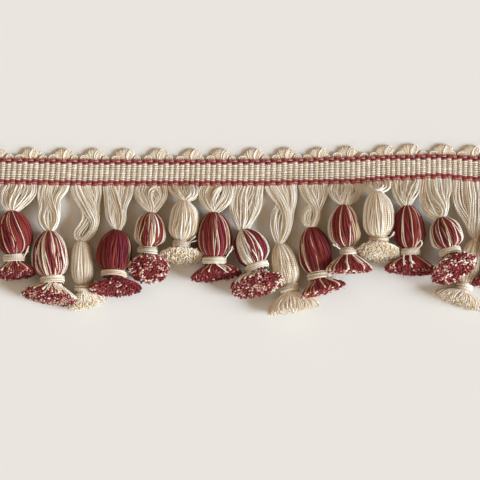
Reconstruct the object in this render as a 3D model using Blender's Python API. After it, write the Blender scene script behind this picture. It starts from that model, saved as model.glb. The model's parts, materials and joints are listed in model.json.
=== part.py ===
"""Onion tassel fringe: a cut length of seventeen repeats, laid out flat.

A woven ribbed heading carries small picot loops along its upper edge. Each repeat of six
ribs runs down as a skirt of strands to a neck, swells into an onion, is tied at the waist
with a bound thread and ends in a flared cut brush.

Sizes are in millimetres and become metres when each mesh is made. X runs along the
heading, Y towards the picots, and Z up from the surface that the length lies on. The
origin is the middle of the heading's back.
"""

import math
from collections import namedtuple

import bmesh
import bpy
from mathutils import Quaternion, Vector

MM = 0.001

# Driving dimensions of the heading
RIBS_PER_REPEAT = 6
VALLEY_HEIGHT = 1.55
CREST_HEIGHT = 2.10
EDGE_HEIGHT = 1.25
EDGE_ROUNDING = 0.55
EDGE_SCALLOP = 0.22
PIECE_GAP = 0.30

# Driving dimensions of the picot loops
PICOT_STRIP = 0.55
PICOT_BASE = (0.35, 1.55)
PICOT_LEVEL = 1.05
TALL_PICOT = {"rise": 3.75, "bulge": 2.30, "half_width": 0.62, "half_height": 0.62}
LOW_PICOT = {"rise": 1.75, "bulge": 1.55, "half_width": 0.42, "half_height": 0.45}
PICOT_SHOULDER = 0.58
FIRST_PICOT_RIB = 1
TALL_PICOT_PLACE = 1

# Driving dimensions of the skirts
SKIRT_STRIP = 0.60
SKIRT_BASE = (0.30, 1.60)
STRAND_HALF_HEIGHT = 0.62
STRAND_FILL = 0.80
NECK_HALF_WIDTH = 2.10
NECK_HALF_HEIGHT = 1.45
NECK_LENGTH = 0.90
SKIRT_ARCH = 0.9

# Driving dimensions of the tassels
SIDES = 12
ONION_SINK = 0.25
NECK_DROP = 0.5
SHOULDER_LENGTH = 1.4
WAIST_FULLNESS = 1.06
BINDING_THICKNESS = 1.05
BINDING_HALF_WIDTH = 1.75
CUT_FACE_RISE = 1.1
CUT_FACE_INNER = 0.58
LOCK_REACH = 1.3
LOCK_UNEVENNESS = 0.35
LOCK_WAVE = 2.4
LOWEST_LOCK = -0.3
LOCK_TAPER = 0.55
TAIL_HALF_WIDTH = 0.40
TAIL_ROOT_HALF_WIDTH = 0.60
TAIL_RISE = 0.7

# Shape of an onion from neck to waist: share of its length, share of its full width
OnionRow = namedtuple("OnionRow", "along width")
ONION_PROFILE = (
    OnionRow(0.00, 0.25),
    OnionRow(0.07, 0.49),
    OnionRow(0.20, 0.79),
    OnionRow(0.38, 0.95),
    OnionRow(0.57, 1.00),
    OnionRow(0.71, 0.97),
)

# Section of a binding: share of its half width along the waist, share of its thickness
BINDING_PROFILE = ((-1.0, 0.0), (-0.7, 1.0), (0.7, 1.0), (1.0, 0.0))

# Flare of a brush from waist to rim: share of its length, share of its growth, of its tilt
BrushRow = namedtuple("BrushRow", "along growth tilt")
BRUSH_PROFILE = (
    BrushRow(0.40, 0.48, 0.45),
    BrushRow(0.78, 0.90, 0.85),
    BrushRow(1.00, 1.00, 1.00),
)

# Course of the heading: x, y of its middle, width
CourseRow = namedtuple("CourseRow", "x middle width")
HEADING_COURSE = (
    CourseRow(-127.4, 0.65, 12.4),
    CourseRow(-113.6, 0.56, 12.5),
    CourseRow(-62.2, -0.05, 12.4),
    CourseRow(-20.1, -0.07, 12.4),
    CourseRow(7.9, 0.00, 12.5),
    CourseRow(26.6, 0.50, 12.6),
    CourseRow(47.7, 1.05, 12.9),
    CourseRow(73.4, 2.25, 12.0),
    CourseRow(92.1, 2.90, 11.5),
    CourseRow(110.8, 1.70, 12.2),
    CourseRow(127.4, 1.20, 12.4),
)

# Plan of each repeat: length of heading, yarn colour, neck, waist and tip of the brush,
# widths of onion, binding and brush
PlanRow = namedtuple("PlanRow", "run colour neck waist tip onion_width waist_width brush_width")
PLANS = (
    PlanRow(15.2, "cream", (-122.0, -12.3), (-123.0, -32.4), (-123.9, -43.0), 14.5, 8.8, 17.8),
    PlanRow(15.6, "wine", (-108.0, -17.9), (-106.8, -39.9), (-105.9, -50.9), 16.2, 10.8, 17.3),
    PlanRow(15.5, "mixed", (-90.7, -27.3), (-89.1, -50.4), (-91.2, -62.6), 17.2, 11.7, 25.0),
    PlanRow(15.2, "cream", (-75.7, -31.5), (-74.8, -53.9), (-72.0, -64.2), 10.8, 8.2, 14.2),
    PlanRow(15.3, "wine", (-59.0, -26.8), (-60.3, -47.9), (-59.2, -58.8), 16.6, 12.4, 22.6),
    PlanRow(15.3, "mixed", (-43.0, -18.6), (-44.6, -36.4), (-43.4, -53.0), 15.0, 9.8, 19.0),
    PlanRow(14.7, "cream", (-27.6, -13.0), (-28.7, -33.4), (-29.0, -44.0), 14.5, 8.6, 18.5),
    PlanRow(15.0, "wine", (-13.6, -18.6), (-13.4, -41.1), (-11.9, -51.4), 16.6, 11.5, 23.4),
    PlanRow(15.6, "mixed", (-0.2, -26.8), (6.6, -44.4), (6.6, -58.8), 15.8, 11.6, 23.0),
    PlanRow(15.7, "cream", (17.0, -32.9), (21.9, -54.1), (23.9, -65.8), 12.6, 10.0, 20.8),
    PlanRow(14.3, "wine", (31.8, -25.4), (35.4, -48.5), (38.2, -57.2), 15.2, 11.0, 21.0),
    PlanRow(15.0, "wine", (47.0, -15.1), (49.4, -36.7), (49.8, -47.4), 15.0, 8.6, 20.4),
    PlanRow(14.0, "cream", (62.6, -8.8), (63.4, -31.7), (63.8, -43.4), 14.6, 9.4, 18.6),
    PlanRow(14.2, "wine", (76.8, -15.4), (78.2, -37.1), (78.4, -48.7), 14.6, 9.6, 22.6),
    PlanRow(14.7, "wine", (92.5, -21.0), (96.7, -37.4), (99.6, -51.4), 15.6, 10.6, 21.4),
    PlanRow(14.7, "cream", (108.9, -31.2), (103.6, -53.6), (100.0, -63.6), 11.6, 8.0, 22.0),
    PlanRow(14.7, "wine", (122.0, -24.9), (119.9, -44.6), (119.4, -55.4), 15.8, 10.8, 21.8),
)

# How each repeat lies: depth of onion and of brush, height that the onion and the brush
# are carried at by a neighbour under them, tilt of the cut face towards the viewer and
# roll of the brush to the right, both in degrees
LieRow = namedtuple("LieRow", "onion_depth brush_depth onion_lift brush_lift tilt roll")
LIES = (
    LieRow(12.0, 12.5, 0.0, 0.0, 25, 0),
    LieRow(12.8, 12.5, 0.0, 0.0, 18, 0),
    LieRow(13.2, 13.5, 0.0, 0.0, 38, -6),
    LieRow(9.0, 6.6, 0.0, 0.0, 8, 0),
    LieRow(12.8, 12.5, 0.0, 2.2, 30, -12),
    LieRow(12.4, 15.0, 0.0, 4.0, 58, -8),
    LieRow(12.0, 12.5, 0.0, 0.0, 32, 0),
    LieRow(12.8, 12.0, 0.0, 0.0, 12, 0),
    LieRow(12.6, 13.5, 0.0, 3.8, 50, 22),
    LieRow(8.2, 9.0, 0.0, 0.0, 8, 0),
    LieRow(10.4, 11.5, 0.0, 1.2, 32, -10),
    LieRow(12.2, 12.0, 0.3, 2.8, 40, -18),
    LieRow(12.0, 12.5, 1.6, 3.4, 42, -14),
    LieRow(12.0, 11.5, 0.0, 0.0, 16, -10),
    LieRow(12.4, 13.0, 2.6, 8.4, 62, 22),
    LieRow(7.2, 8.6, 0.0, 0.0, 8, 0),
    LieRow(12.4, 12.0, 0.0, 0.0, 22, 0),
)

# How each skirt runs between heading and neck: x and y of its middle, half width
SKIRT_COURSES = (
    ((-120.1, -8.1, 7.0), (-120.8, -10.2, 5.0)),
    ((-105.1, -9.5, 7.4), (-106.0, -14.2, 5.4)),
    ((-89.3, -9.5, 7.0), (-90.7, -14.2, 5.2), (-90.8, -21.2, 4.9)),
    ((-73.2, -9.5, 6.7), (-72.5, -16.1, 4.8), (-72.0, -23.1, 4.2), (-74.1, -27.8, 3.8)),
    ((-58.4, -9.5, 6.8), (-59.6, -15.1, 5.6), (-59.2, -21.2, 4.3)),
    ((-43.0, -9.5, 7.3), (-42.1, -14.2, 5.4)),
    ((-27.4, -8.6, 6.5), (-27.0, -10.9, 4.6)),
    ((-13.3, -9.5, 7.4), (-13.1, -14.2, 6.4)),
    ((1.9, -9.5, 7.2), (0.9, -15.1, 6.8), (-0.3, -20.7, 4.8)),
    ((18.7, -10.5, 6.5), (19.6, -16.1, 4.4), (18.0, -23.1, 4.7), (17.3, -28.6, 3.9)),
    ((33.4, -10.0, 6.1), (34.3, -14.7, 3.6), (31.6, -19.3, 4.2), (31.5, -22.6, 3.2)),
    ((47.7, -8.6, 7.3), (47.9, -11.9, 5.2)),
    ((62.4, -6.0, 6.6), (62.5, -7.0, 4.9)),
    ((76.5, -7.2, 7.1), (75.8, -11.9, 5.1)),
    ((90.9, -7.2, 6.3), (89.7, -11.9, 6.0), (90.2, -16.5, 5.0)),
    ((105.4, -9.5, 7.0), (106.4, -16.1, 6.0), (108.1, -23.1, 3.7)),
    ((120.2, -9.5, 6.9), (121.1, -16.1, 5.5)),
)

# Free ends of the bindings: tassel, side of the waist, middle and end of the thread
TailRow = namedtuple("TailRow", "tassel side middle end")
TAILS = (
    TailRow(1, 1, (-100.9, -37.6, 9.6), (-99.6, -33.4, 10.4)),
    TailRow(3, 1, (-70.4, -52.6, 8.4), (-68.4, -50.6, 8.6)),
    TailRow(6, 1, (-24.0, -31.2, 9.4), (-21.6, -28.4, 9.8)),
    TailRow(7, 1, (-7.6, -39.0, 9.8), (-5.2, -35.4, 9.8)),
    TailRow(10, 1, (42.2, -48.2, 9.6), (46.0, -48.6, 9.6)),
    TailRow(11, -1, (44.2, -35.2, 9.8), (41.2, -32.0, 10.2)),
    TailRow(12, 1, (68.8, -29.8, 10.4), (70.8, -26.4, 11.2)),
)

YARN_COLOURS = {
    "cream": (0.60, 0.51, 0.38, 1.0),
    "wine": (0.17, 0.032, 0.030, 1.0),
    "mixed": (0.34, 0.17, 0.13, 1.0),
}
HEADING_COLOUR = (0.50, 0.40, 0.29, 1.0)
PICOT_COLOUR = (0.54, 0.44, 0.31, 1.0)
SKIRT_COLOUR = (0.52, 0.42, 0.30, 1.0)
BINDING_COLOUR = (0.56, 0.46, 0.34, 1.0)
YARN_ROUGHNESS = 0.75

SIDEWAYS = Vector((1.0, 0.0, 0.0))
UPWARDS = Vector((0.0, 0.0, 1.0))

Station = namedtuple("Station", "centre half_width half_height")


def clear_scene():
    """Remove whatever the file holds, so the length is modelled alone."""
    for obj in list(bpy.data.objects):
        bpy.data.objects.remove(obj, do_unlink=True)


def ease(share):
    """Smooth step from 0 to 1."""
    share = min(1.0, max(0.0, share))
    return share * share * (3.0 - 2.0 * share)


def course_at(x):
    """Middle and width of the heading at x, eased between the rows of its course."""
    for left, right in zip(HEADING_COURSE, HEADING_COURSE[1:]):
        if x <= right.x:
            break
    share = ease((x - left.x) / (right.x - left.x))
    middle = left.middle + (right.middle - left.middle) * share
    width = left.width + (right.width - left.width) * share
    return middle, width


def rib_lines():
    """X of each line between two ribs, from one cut end to the other."""
    x = -sum(plan.run for plan in PLANS) / 2
    lines = [x]
    for plan in PLANS:
        pitch = plan.run / RIBS_PER_REPEAT
        for _ in range(RIBS_PER_REPEAT):
            x += pitch
            lines.append(x)
    return lines


def lower_edge(x):
    middle, width = course_at(x)
    return middle - width / 2


def upper_edge(x):
    middle, width = course_at(x)
    return middle + width / 2


def make_material(name, colour):
    material = bpy.data.materials.new(name)
    material.use_nodes = True
    shader = material.node_tree.nodes["Principled BSDF"]
    shader.inputs["Base Color"].default_value = colour
    shader.inputs["Roughness"].default_value = YARN_ROUGHNESS
    shader.inputs["Metallic"].default_value = 0.0
    return material


def finish_object(name, bm, colour, collection):
    """Turn a mesh built in millimetres into a named object in metres."""
    bmesh.ops.recalc_face_normals(bm, faces=bm.faces[:])
    bmesh.ops.scale(bm, vec=(MM, MM, MM), verts=bm.verts[:])
    mesh = bpy.data.meshes.new(name)
    bm.to_mesh(mesh)
    bm.free()
    obj = bpy.data.objects.new(name, mesh)
    obj.data.materials.append(make_material(name + "_yarn", colour))
    collection.objects.link(obj)
    return obj


def loft(bm, rings):
    """Skin a row of rings that have like numbers of points, with both ends capped."""
    rows = [[bm.verts.new(point) for point in ring] for ring in rings]
    count = len(rows[0])
    bands = []
    for near, far in zip(rows, rows[1:]):
        band = []
        for i in range(count):
            j = (i + 1) % count
            band.append(bm.faces.new((near[i], near[j], far[j], far[i])))
        bands.append(band)
    bm.faces.new(rows[0][::-1])
    bm.faces.new(rows[-1])
    return bands


def corner_signs(face, across, up):
    """Which way each corner of a four-cornered face lies, across and up."""
    centre = face.calc_center_median()
    signs = []
    for vert in face.verts:
        offset = vert.co - centre
        signs.append((math.copysign(1, offset.dot(across)), math.copysign(1, offset.dot(up))))
    return signs


def run_strand(bm, face, across, up, stations):
    """Extrude a four-cornered face through its stations and return the last face.

    The strand's frame starts square to the face and turns with its route, so it never
    twists on the way.
    """
    signs = corner_signs(face, across, up)
    centres = [face.calc_center_median()] + [station.centre for station in stations]
    heading_way = across.cross(up)
    if heading_way.dot(centres[1] - centres[0]) < 0:
        heading_way = -heading_way
    for i, station in enumerate(stations, start=1):
        after = centres[min(i + 1, len(centres) - 1)]
        way = (after - centres[i - 1]).normalized()
        turn = heading_way.rotation_difference(way)
        across = turn @ across
        up = turn @ up
        heading_way = way
        face = bmesh.ops.extrude_discrete_faces(bm, faces=[face])["faces"][0]
        for vert, (side, height) in zip(face.verts, signs):
            vert.co = (
                station.centre
                + across * (side * station.half_width)
                + up * (height * station.half_height)
            )
    return face, signs


def bridge(bm, face, signs, target, target_signs):
    """Join the open end of a strand to a face of like corners."""
    partners = dict(zip(target_signs, target.verts))
    near = list(face.verts)
    far = [partners[sign] for sign in signs]
    bmesh.ops.delete(bm, geom=[face, target], context="FACES_ONLY")
    for i in range(len(near)):
        j = (i + 1) % len(near)
        bm.faces.new((near[i], near[j], far[j], far[i]))


def comb_ring(front, back, low, high):
    """Section of a narrow strip whose front carries strands."""
    return (
        Vector((front.x, front.y, low)),
        Vector((front.x, front.y, high)),
        Vector((back.x, back.y, high)),
        Vector((back.x, back.y, low)),
    )


def heading_ring(x, height, inset):
    """Section of the heading at x, flat underneath and rounded over both edges."""
    low = lower_edge(x) + inset
    high = upper_edge(x) - inset
    return (
        Vector((x, low, 0.0)),
        Vector((x, low, EDGE_HEIGHT)),
        Vector((x, low + EDGE_ROUNDING, height)),
        Vector((x, high - EDGE_ROUNDING, height)),
        Vector((x, high, EDGE_HEIGHT)),
        Vector((x, high, 0.0)),
    )


def build_heading(collection):
    """Ribbed band: a valley at each rib line and a crest in the middle of each rib."""
    lines = rib_lines()
    bm = bmesh.new()
    rings = [heading_ring(lines[0], VALLEY_HEIGHT, EDGE_SCALLOP)]
    for left, right in zip(lines, lines[1:]):
        rings.append(heading_ring((left + right) / 2, CREST_HEIGHT, 0.0))
        rings.append(heading_ring(right, VALLEY_HEIGHT, EDGE_SCALLOP))
    loft(bm, rings)
    finish_object("heading", bm, HEADING_COLOUR, collection)


def picot_points(left, right, shape, base):
    """Centre line of one loop over two neighbouring ribs."""
    middle = (left + right) / 2
    shoulder = base + shape["rise"] * PICOT_SHOULDER
    return (
        Vector((middle - shape["bulge"], shoulder, PICOT_LEVEL)),
        Vector((middle, base + shape["rise"], PICOT_LEVEL)),
        Vector((middle + shape["bulge"], shoulder, PICOT_LEVEL)),
    )


def build_picots(collection):
    """Row of loops on a narrow strip along the heading's upper edge."""
    lines = rib_lines()
    low, high = PICOT_BASE
    bm = bmesh.new()
    rings = []
    for x in lines:
        inner = upper_edge(x) + PIECE_GAP
        rings.append(comb_ring(Vector((x, inner + PICOT_STRIP)), Vector((x, inner)), low, high))
    roots = [band[0] for band in loft(bm, rings)]
    for place, rib in enumerate(range(FIRST_PICOT_RIB, len(roots) - 1, 2)):
        shape = TALL_PICOT if place % 3 == TALL_PICOT_PLACE else LOW_PICOT
        near = (lines[rib] + lines[rib + 1]) / 2
        far = (lines[rib + 1] + lines[rib + 2]) / 2
        base = upper_edge(lines[rib + 1]) + PIECE_GAP + PICOT_STRIP
        stations = [
            Station(point, shape["half_width"], shape["half_height"])
            for point in picot_points(near, far, shape, base)
        ]
        last, signs = run_strand(bm, roots[rib], SIDEWAYS, UPWARDS, stations)
        end = roots[rib + 1]
        bridge(bm, last, signs, end, corner_signs(end, -SIDEWAYS, UPWARDS))
    finish_object("picots", bm, PICOT_COLOUR, collection)


def plan_direction(start, end):
    """Unit vector in plan from one point to another, and the way across it."""
    along = Vector((end[0] - start[0], end[1] - start[1], 0.0)).normalized()
    across = Vector((-along.y, along.x, 0.0))
    return along, across


def onion_level(index):
    """Height of the middle of an onion and of its waist."""
    lie = LIES[index]
    return lie.onion_lift + lie.onion_depth / 2 - ONION_SINK


def skirt_height(share, neck_level):
    """Height of a skirt's middle from heading to neck, a low arch over the surface."""
    base = sum(SKIRT_BASE) / 2
    return base + (neck_level - base) * ease(share) + SKIRT_ARCH * math.sin(math.pi * share)


def build_skirt(index, lines, collection):
    """Six strands, one from each rib of a repeat, gathered in a small neck block."""
    plan = PLANS[index]
    along, across = plan_direction(plan.neck, plan.waist)
    first = index * RIBS_PER_REPEAT
    low, high = SKIRT_BASE
    bm = bmesh.new()
    rings = []
    for step in range(RIBS_PER_REPEAT + 1):
        x = lines[first + step] + PIECE_GAP / 2 * ((step == 0) - (step == RIBS_PER_REPEAT))
        inner = lower_edge(x) - PIECE_GAP
        rings.append(comb_ring(Vector((x, inner - SKIRT_STRIP)), Vector((x, inner)), low, high))
    roots = [band[0] for band in loft(bm, rings)]

    neck_level = onion_level(index) - NECK_DROP
    neck = Vector((plan.neck[0], plan.neck[1], 0.0)) - along * PIECE_GAP
    rings = []
    for step in range(RIBS_PER_REPEAT + 1):
        aside = across * (NECK_HALF_WIDTH * (2.0 * step / RIBS_PER_REPEAT - 1.0))
        rings.append(comb_ring(
            neck + aside - along * NECK_LENGTH,
            neck + aside,
            neck_level - NECK_HALF_HEIGHT,
            neck_level + NECK_HALF_HEIGHT,
        ))
    targets = [band[0] for band in loft(bm, rings)]

    start_y = lower_edge(plan.neck[0])
    for strand, (root, target) in enumerate(zip(roots, targets)):
        share = (strand + 0.5) * 2.0 / RIBS_PER_REPEAT - 1.0
        stations = []
        for x, y, half_width in SKIRT_COURSES[index]:
            fall = (start_y - y) / (start_y - plan.neck[1])
            stations.append(Station(
                Vector((x + share * half_width, y, skirt_height(fall, neck_level))),
                half_width / RIBS_PER_REPEAT * STRAND_FILL,
                STRAND_HALF_HEIGHT,
            ))
        last, signs = run_strand(bm, root, SIDEWAYS, UPWARDS, stations)
        bridge(bm, last, signs, target, corner_signs(target, across, UPWARDS))
    finish_object(f"skirt_{index:02d}", bm, SKIRT_COLOUR, collection)


def ring_points(centre, across, up, half_width, half_height, floor=0.0):
    """Oval ring of SIDES points, pressed flat where it would go under the floor."""
    points = []
    for i in range(SIDES):
        angle = 2.0 * math.pi * (i + 0.5) / SIDES
        aside = across * (half_width * math.cos(angle))
        point = centre + aside + up * (half_height * math.sin(angle))
        point.z = max(floor, point.z)
        points.append(point)
    return points


def waist_size(index):
    """Half width and half height of the yarn inside the binding."""
    half_width = PLANS[index].waist_width / 2 - BINDING_THICKNESS - PIECE_GAP
    flatness = LIES[index].onion_depth / PLANS[index].onion_width
    return half_width, half_width * min(1.0, flatness * WAIST_FULLNESS)


def onion_rings(index):
    """Rings of the onion from its neck to the far side of the waist."""
    plan = PLANS[index]
    along, across = plan_direction(plan.neck, plan.waist)
    level = onion_level(index)
    neck = Vector((plan.neck[0], plan.neck[1], level - NECK_DROP))
    waist = Vector((plan.waist[0], plan.waist[1], level))
    half_width = plan.onion_width / 2
    half_height = LIES[index].onion_depth / 2
    waist_width, waist_height = waist_size(index)
    clear = BINDING_HALF_WIDTH + PIECE_GAP
    rings = [
        ring_points(
            neck.lerp(waist, row.along), across, UPWARDS,
            half_width * row.width, half_height * row.width,
        )
        for row in ONION_PROFILE
    ]
    shoulder = waist - along * (clear + SHOULDER_LENGTH)
    rings.append(ring_points(
        shoulder, across, UPWARDS,
        (half_width + waist_width) / 2, (half_height + waist_height) / 2,
    ))
    for offset in (-clear, clear):
        centre = waist + along * offset
        rings.append(ring_points(centre, across, UPWARDS, waist_width, waist_height))
    return rings


def brush_rings(index):
    """Rings of the brush from behind the binding to the rim and into the cut face.

    Returned with them is the way that the cut face looks.
    """
    plan = PLANS[index]
    lie = LIES[index]
    along, across = plan_direction(plan.waist, plan.tip)
    waist_width, waist_height = waist_size(index)
    half_width = plan.brush_width / 2
    half_depth = lie.brush_depth / 2
    tilt = math.radians(lie.tilt)
    roll = math.radians(lie.roll)
    start = Vector((plan.waist[0], plan.waist[1], onion_level(index)))
    start += along * (BINDING_HALF_WIDTH + PIECE_GAP)
    rim = Vector((plan.tip[0], plan.tip[1], lie.brush_lift + half_depth * math.cos(tilt)))
    rim -= along * (half_depth * math.sin(tilt) + CUT_FACE_RISE * math.cos(tilt))
    facing = along * math.cos(tilt) + UPWARDS * math.sin(tilt)
    rings = []
    for row in BRUSH_PROFILE:
        lean = Quaternion(across, -tilt * row.tilt) @ UPWARDS
        turn = Quaternion(facing, roll * row.tilt)
        rings.append(ring_points(
            start.lerp(rim, row.along), turn @ across, turn @ lean,
            waist_width + (half_width - waist_width) * row.growth,
            waist_height + (half_depth - waist_height) * row.growth,
        ))
    rings.append(ring_points(
        rim + facing * CUT_FACE_RISE, turn @ across, turn @ lean,
        half_width * CUT_FACE_INNER, half_depth * CUT_FACE_INNER,
    ))
    return rings, facing


def build_tassel(index, collection):
    """Onion, waist and flared brush in one piece of yarn, with locks round its rim."""
    brush, facing = brush_rings(index)
    bm = bmesh.new()
    bands = loft(bm, onion_rings(index) + brush)
    for sector, face in enumerate(bands[-1]):
        if math.sin(2.0 * math.pi * (sector + 1) / SIDES) < LOWEST_LOCK:
            continue
        reach = LOCK_REACH * (1.0 + LOCK_UNEVENNESS * math.sin(LOCK_WAVE * sector + index))
        lock = bmesh.ops.extrude_discrete_faces(bm, faces=[face])["faces"][0]
        centre = lock.calc_center_median()
        for vert in lock.verts:
            vert.co = centre + (vert.co - centre) * LOCK_TAPER + facing * reach
    finish_object(f"tassel_{index:02d}", bm, YARN_COLOURS[PLANS[index].colour], collection)


def build_binding(index, collection):
    """Bound ring round a waist, with its free end where there is one."""
    plan = PLANS[index]
    along, across = plan_direction(plan.neck, plan.waist)
    waist = Vector((plan.waist[0], plan.waist[1], onion_level(index)))
    waist_width, waist_height = waist_size(index)
    bm = bmesh.new()
    rows = []
    for place, thickness in BINDING_PROFILE:
        grown = PIECE_GAP + thickness * BINDING_THICKNESS
        points = ring_points(
            waist + along * (place * BINDING_HALF_WIDTH), across, UPWARDS,
            waist_width + grown, waist_height + grown,
        )
        rows.append([bm.verts.new(point) for point in points])
    bands = []
    for near, far in zip(rows, rows[1:] + rows[:1]):
        bands.append([
            bm.faces.new((near[i - 1], near[i], far[i], far[i - 1])) for i in range(SIDES)
        ])
    for tail in TAILS:
        if tail.tassel == index:
            root = bands[1][1 if tail.side > 0 else SIDES // 2]
            centre = root.calc_center_median()
            spoke = (centre - waist).normalized()
            stations = (
                Station(centre + spoke * TAIL_RISE, TAIL_ROOT_HALF_WIDTH, TAIL_ROOT_HALF_WIDTH),
                Station(Vector(tail.middle), TAIL_HALF_WIDTH, TAIL_HALF_WIDTH),
                Station(Vector(tail.end), TAIL_HALF_WIDTH, TAIL_HALF_WIDTH),
            )
            run_strand(bm, root, along, spoke.cross(along), stations)
    finish_object(f"binding_{index:02d}", bm, BINDING_COLOUR, collection)


def main():
    clear_scene()
    collection = bpy.data.collections.new("onion_tassel_fringe")
    bpy.context.scene.collection.children.link(collection)
    build_heading(collection)
    build_picots(collection)
    lines = rib_lines()
    for index in range(len(PLANS)):
        build_skirt(index, lines, collection)
        build_tassel(index, collection)
        build_binding(index, collection)


main()
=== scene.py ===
"""Onion tassel fringe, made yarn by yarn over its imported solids.

The length lies flat: X runs along the heading, Y towards the picots and Z up. Tables and
guide lines are in millimetres and become metres when a mesh is written. Each strand starts
as a guide line, and one node tree sweeps the guides of a piece into plied yarns.
"""

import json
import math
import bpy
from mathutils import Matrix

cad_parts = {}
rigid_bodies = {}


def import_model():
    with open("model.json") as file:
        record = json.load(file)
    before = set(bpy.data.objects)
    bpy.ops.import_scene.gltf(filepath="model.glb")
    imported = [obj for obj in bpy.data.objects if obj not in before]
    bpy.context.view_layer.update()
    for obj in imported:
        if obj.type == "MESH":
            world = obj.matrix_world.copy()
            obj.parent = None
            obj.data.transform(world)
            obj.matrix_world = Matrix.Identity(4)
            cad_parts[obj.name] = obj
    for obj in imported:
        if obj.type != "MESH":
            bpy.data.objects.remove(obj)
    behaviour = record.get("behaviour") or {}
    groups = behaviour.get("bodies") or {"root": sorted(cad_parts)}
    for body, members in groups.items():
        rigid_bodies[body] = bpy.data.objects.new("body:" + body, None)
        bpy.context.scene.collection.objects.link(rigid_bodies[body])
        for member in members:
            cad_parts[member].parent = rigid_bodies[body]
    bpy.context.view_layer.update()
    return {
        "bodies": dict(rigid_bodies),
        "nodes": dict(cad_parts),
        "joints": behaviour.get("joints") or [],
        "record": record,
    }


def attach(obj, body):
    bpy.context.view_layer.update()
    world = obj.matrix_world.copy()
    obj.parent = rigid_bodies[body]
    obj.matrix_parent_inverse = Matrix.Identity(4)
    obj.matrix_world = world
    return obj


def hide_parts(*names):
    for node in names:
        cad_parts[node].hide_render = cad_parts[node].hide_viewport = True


bl_info = {
    "name": "Onion Tassel Fringe",
    "version": (1, 0, 0),
    "blender": (4, 5, 0),
    "location": "3D View > Sidebar > Fringe",
    "description": "Makes a laid-out length of onion tassel fringe, yarn by yarn",
    "category": "Add Mesh",
}

from collections import namedtuple
from itertools import accumulate

import bmesh
import bpy
import numpy as np
from bpy.props import FloatProperty, FloatVectorProperty, IntProperty, PointerProperty
from mathutils import Quaternion, Vector

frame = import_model()

MM = 0.001
TURN = 2 * np.pi
SIDEWAYS = Vector((1.0, 0.0, 0.0))
UPWARDS = Vector((0.0, 0.0, 1.0))

# Heading: ribs in a repeat, heights of the band between the ribs, on them and at its edges,
# margin left for the floats, shares of a rib that get a section, and how far a rib's top
# stands to the right of its foot for each millimetre of its length, which fades out between
# two places. Then the widths of the lower and the upper border, and depth and relief of a float
RIBS_PER_REPEAT = 6
BAND_VALLEY = 0.95
BAND_CREST = 1.40
BAND_EDGE = 0.85
BAND_MARGIN = 0.15
RIB_SECTIONS = (0.0, 0.17, 0.34, 0.5, 0.66, 0.83)
RIB_LEAN = 0.085
LEAN_FADES = (-110.0, 100.0)
BORDER_WIDTHS = (2.4, 2.0)
FLOAT_SINK = 0.12
FLOAT_RELIEF = 0.66

# Skirts: height where the yarns leave the heading, rise of their arch, thickness of a hank
# from heading to neck, widening of the marked hanks and their least half width, points along
# a yarn, overlap with the heading, and size and overlap at the neck
SKIRT_FOOT = 0.95
SKIRT_ARCH = 0.9
HANK_DEPTH = ((0.0, 0.15, 0.6, 1.0), (0.35, 0.75, 0.95, 1.15))
HANK_FULLNESS = 1.18
HANK_LEAST = 1.35
HANK_STEPS = 14
STEPS_PER_MM = 0.45
ROOT_TUCK = 0.9
NECK_HALF = 1.05
NECK_TUCK = 0.9

# Tassels, as in the solids, then the length of a cut end, where the stems and the heart of a
# brush start under the binding, and where the heart ends, both as shares of the brush
ONION_SINK = 0.25
NECK_DROP = 0.5
SHOULDER_LENGTH = 1.4
WAIST_FULLNESS = 1.06
BINDING_THICKNESS = 1.05
BINDING_HALF_WIDTH = 1.75
PIECE_GAP = 0.30
CUT_END_LENGTH = 3.2
BRUSH_START = -0.2
HEART_END = 0.72

# Yarns over an onion: how deep they lie in it, half width from which they stand fully proud,
# least half width, and how far the core and the heart of the brush lie under the yarns
YARN_SINK = 0.22
FULL_ROUND = 2.5
LEAST_ROUND = 0.15
CORE_COVER = 0.75
HEART_COVER = 1.2

# Lowest height of a guide line, so that no strand sinks into the floor
LOW_THREAD = 0.32
LOW_ONION = 0.40
LOW_STEM = 0.60
LOW_FLUFF = 0.20

# Counts of strands, and where the seeds of each kind of piece start
YARNS_PER_MARK = 1.8
FACE_YARNS = 42
YARNS_BELOW = 34
UNDER_YARNS = 40
LOOSE_YARNS = 9
FLUFF_FIBRES = 150
FRAYED_PLIES = 3
SEEDS = {"skirt": 0, "onion": 20, "brush": 40, "binding": 60, "picots": 80, "heading": 90}

# Onion from neck to shoulder: share of its length, share of its width
ONION_PROFILE = ((0.00, 0.22), (0.07, 0.49), (0.20, 0.79), (0.38, 0.95), (0.57, 1.00), (0.71, 0.97))
# Brush from binding to cut face: share of its length, growth and tilt towards the face's
BRUSH_PROFILE = (
    (-0.22, 0.00, 0.00), (0.00, 0.02, 0.00), (0.40, 0.48, 0.45), (0.78, 0.90, 0.85), (1.00, 1.00, 1.00))


def table(fields, *rows):
    """Rows of values with a name for each column."""
    return [namedtuple("Row", fields)(*row) for row in rows]


# Course of the heading: x, y of its middle, width
HEADING_COURSE = table(
    "x middle width",
    (-127.4, 0.65, 12.4),
    (-113.6, 0.56, 12.5),
    (-62.2, -0.05, 12.4),
    (-20.1, -0.07, 12.4),
    (7.9, 0, 12.5),
    (26.6, 0.5, 12.6),
    (47.7, 1.05, 12.9),
    (73.4, 2.25, 12),
    (92.1, 2.9, 11.5),
    (110.8, 1.7, 12.2),
    (127.4, 1.2, 12.4),
)

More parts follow.
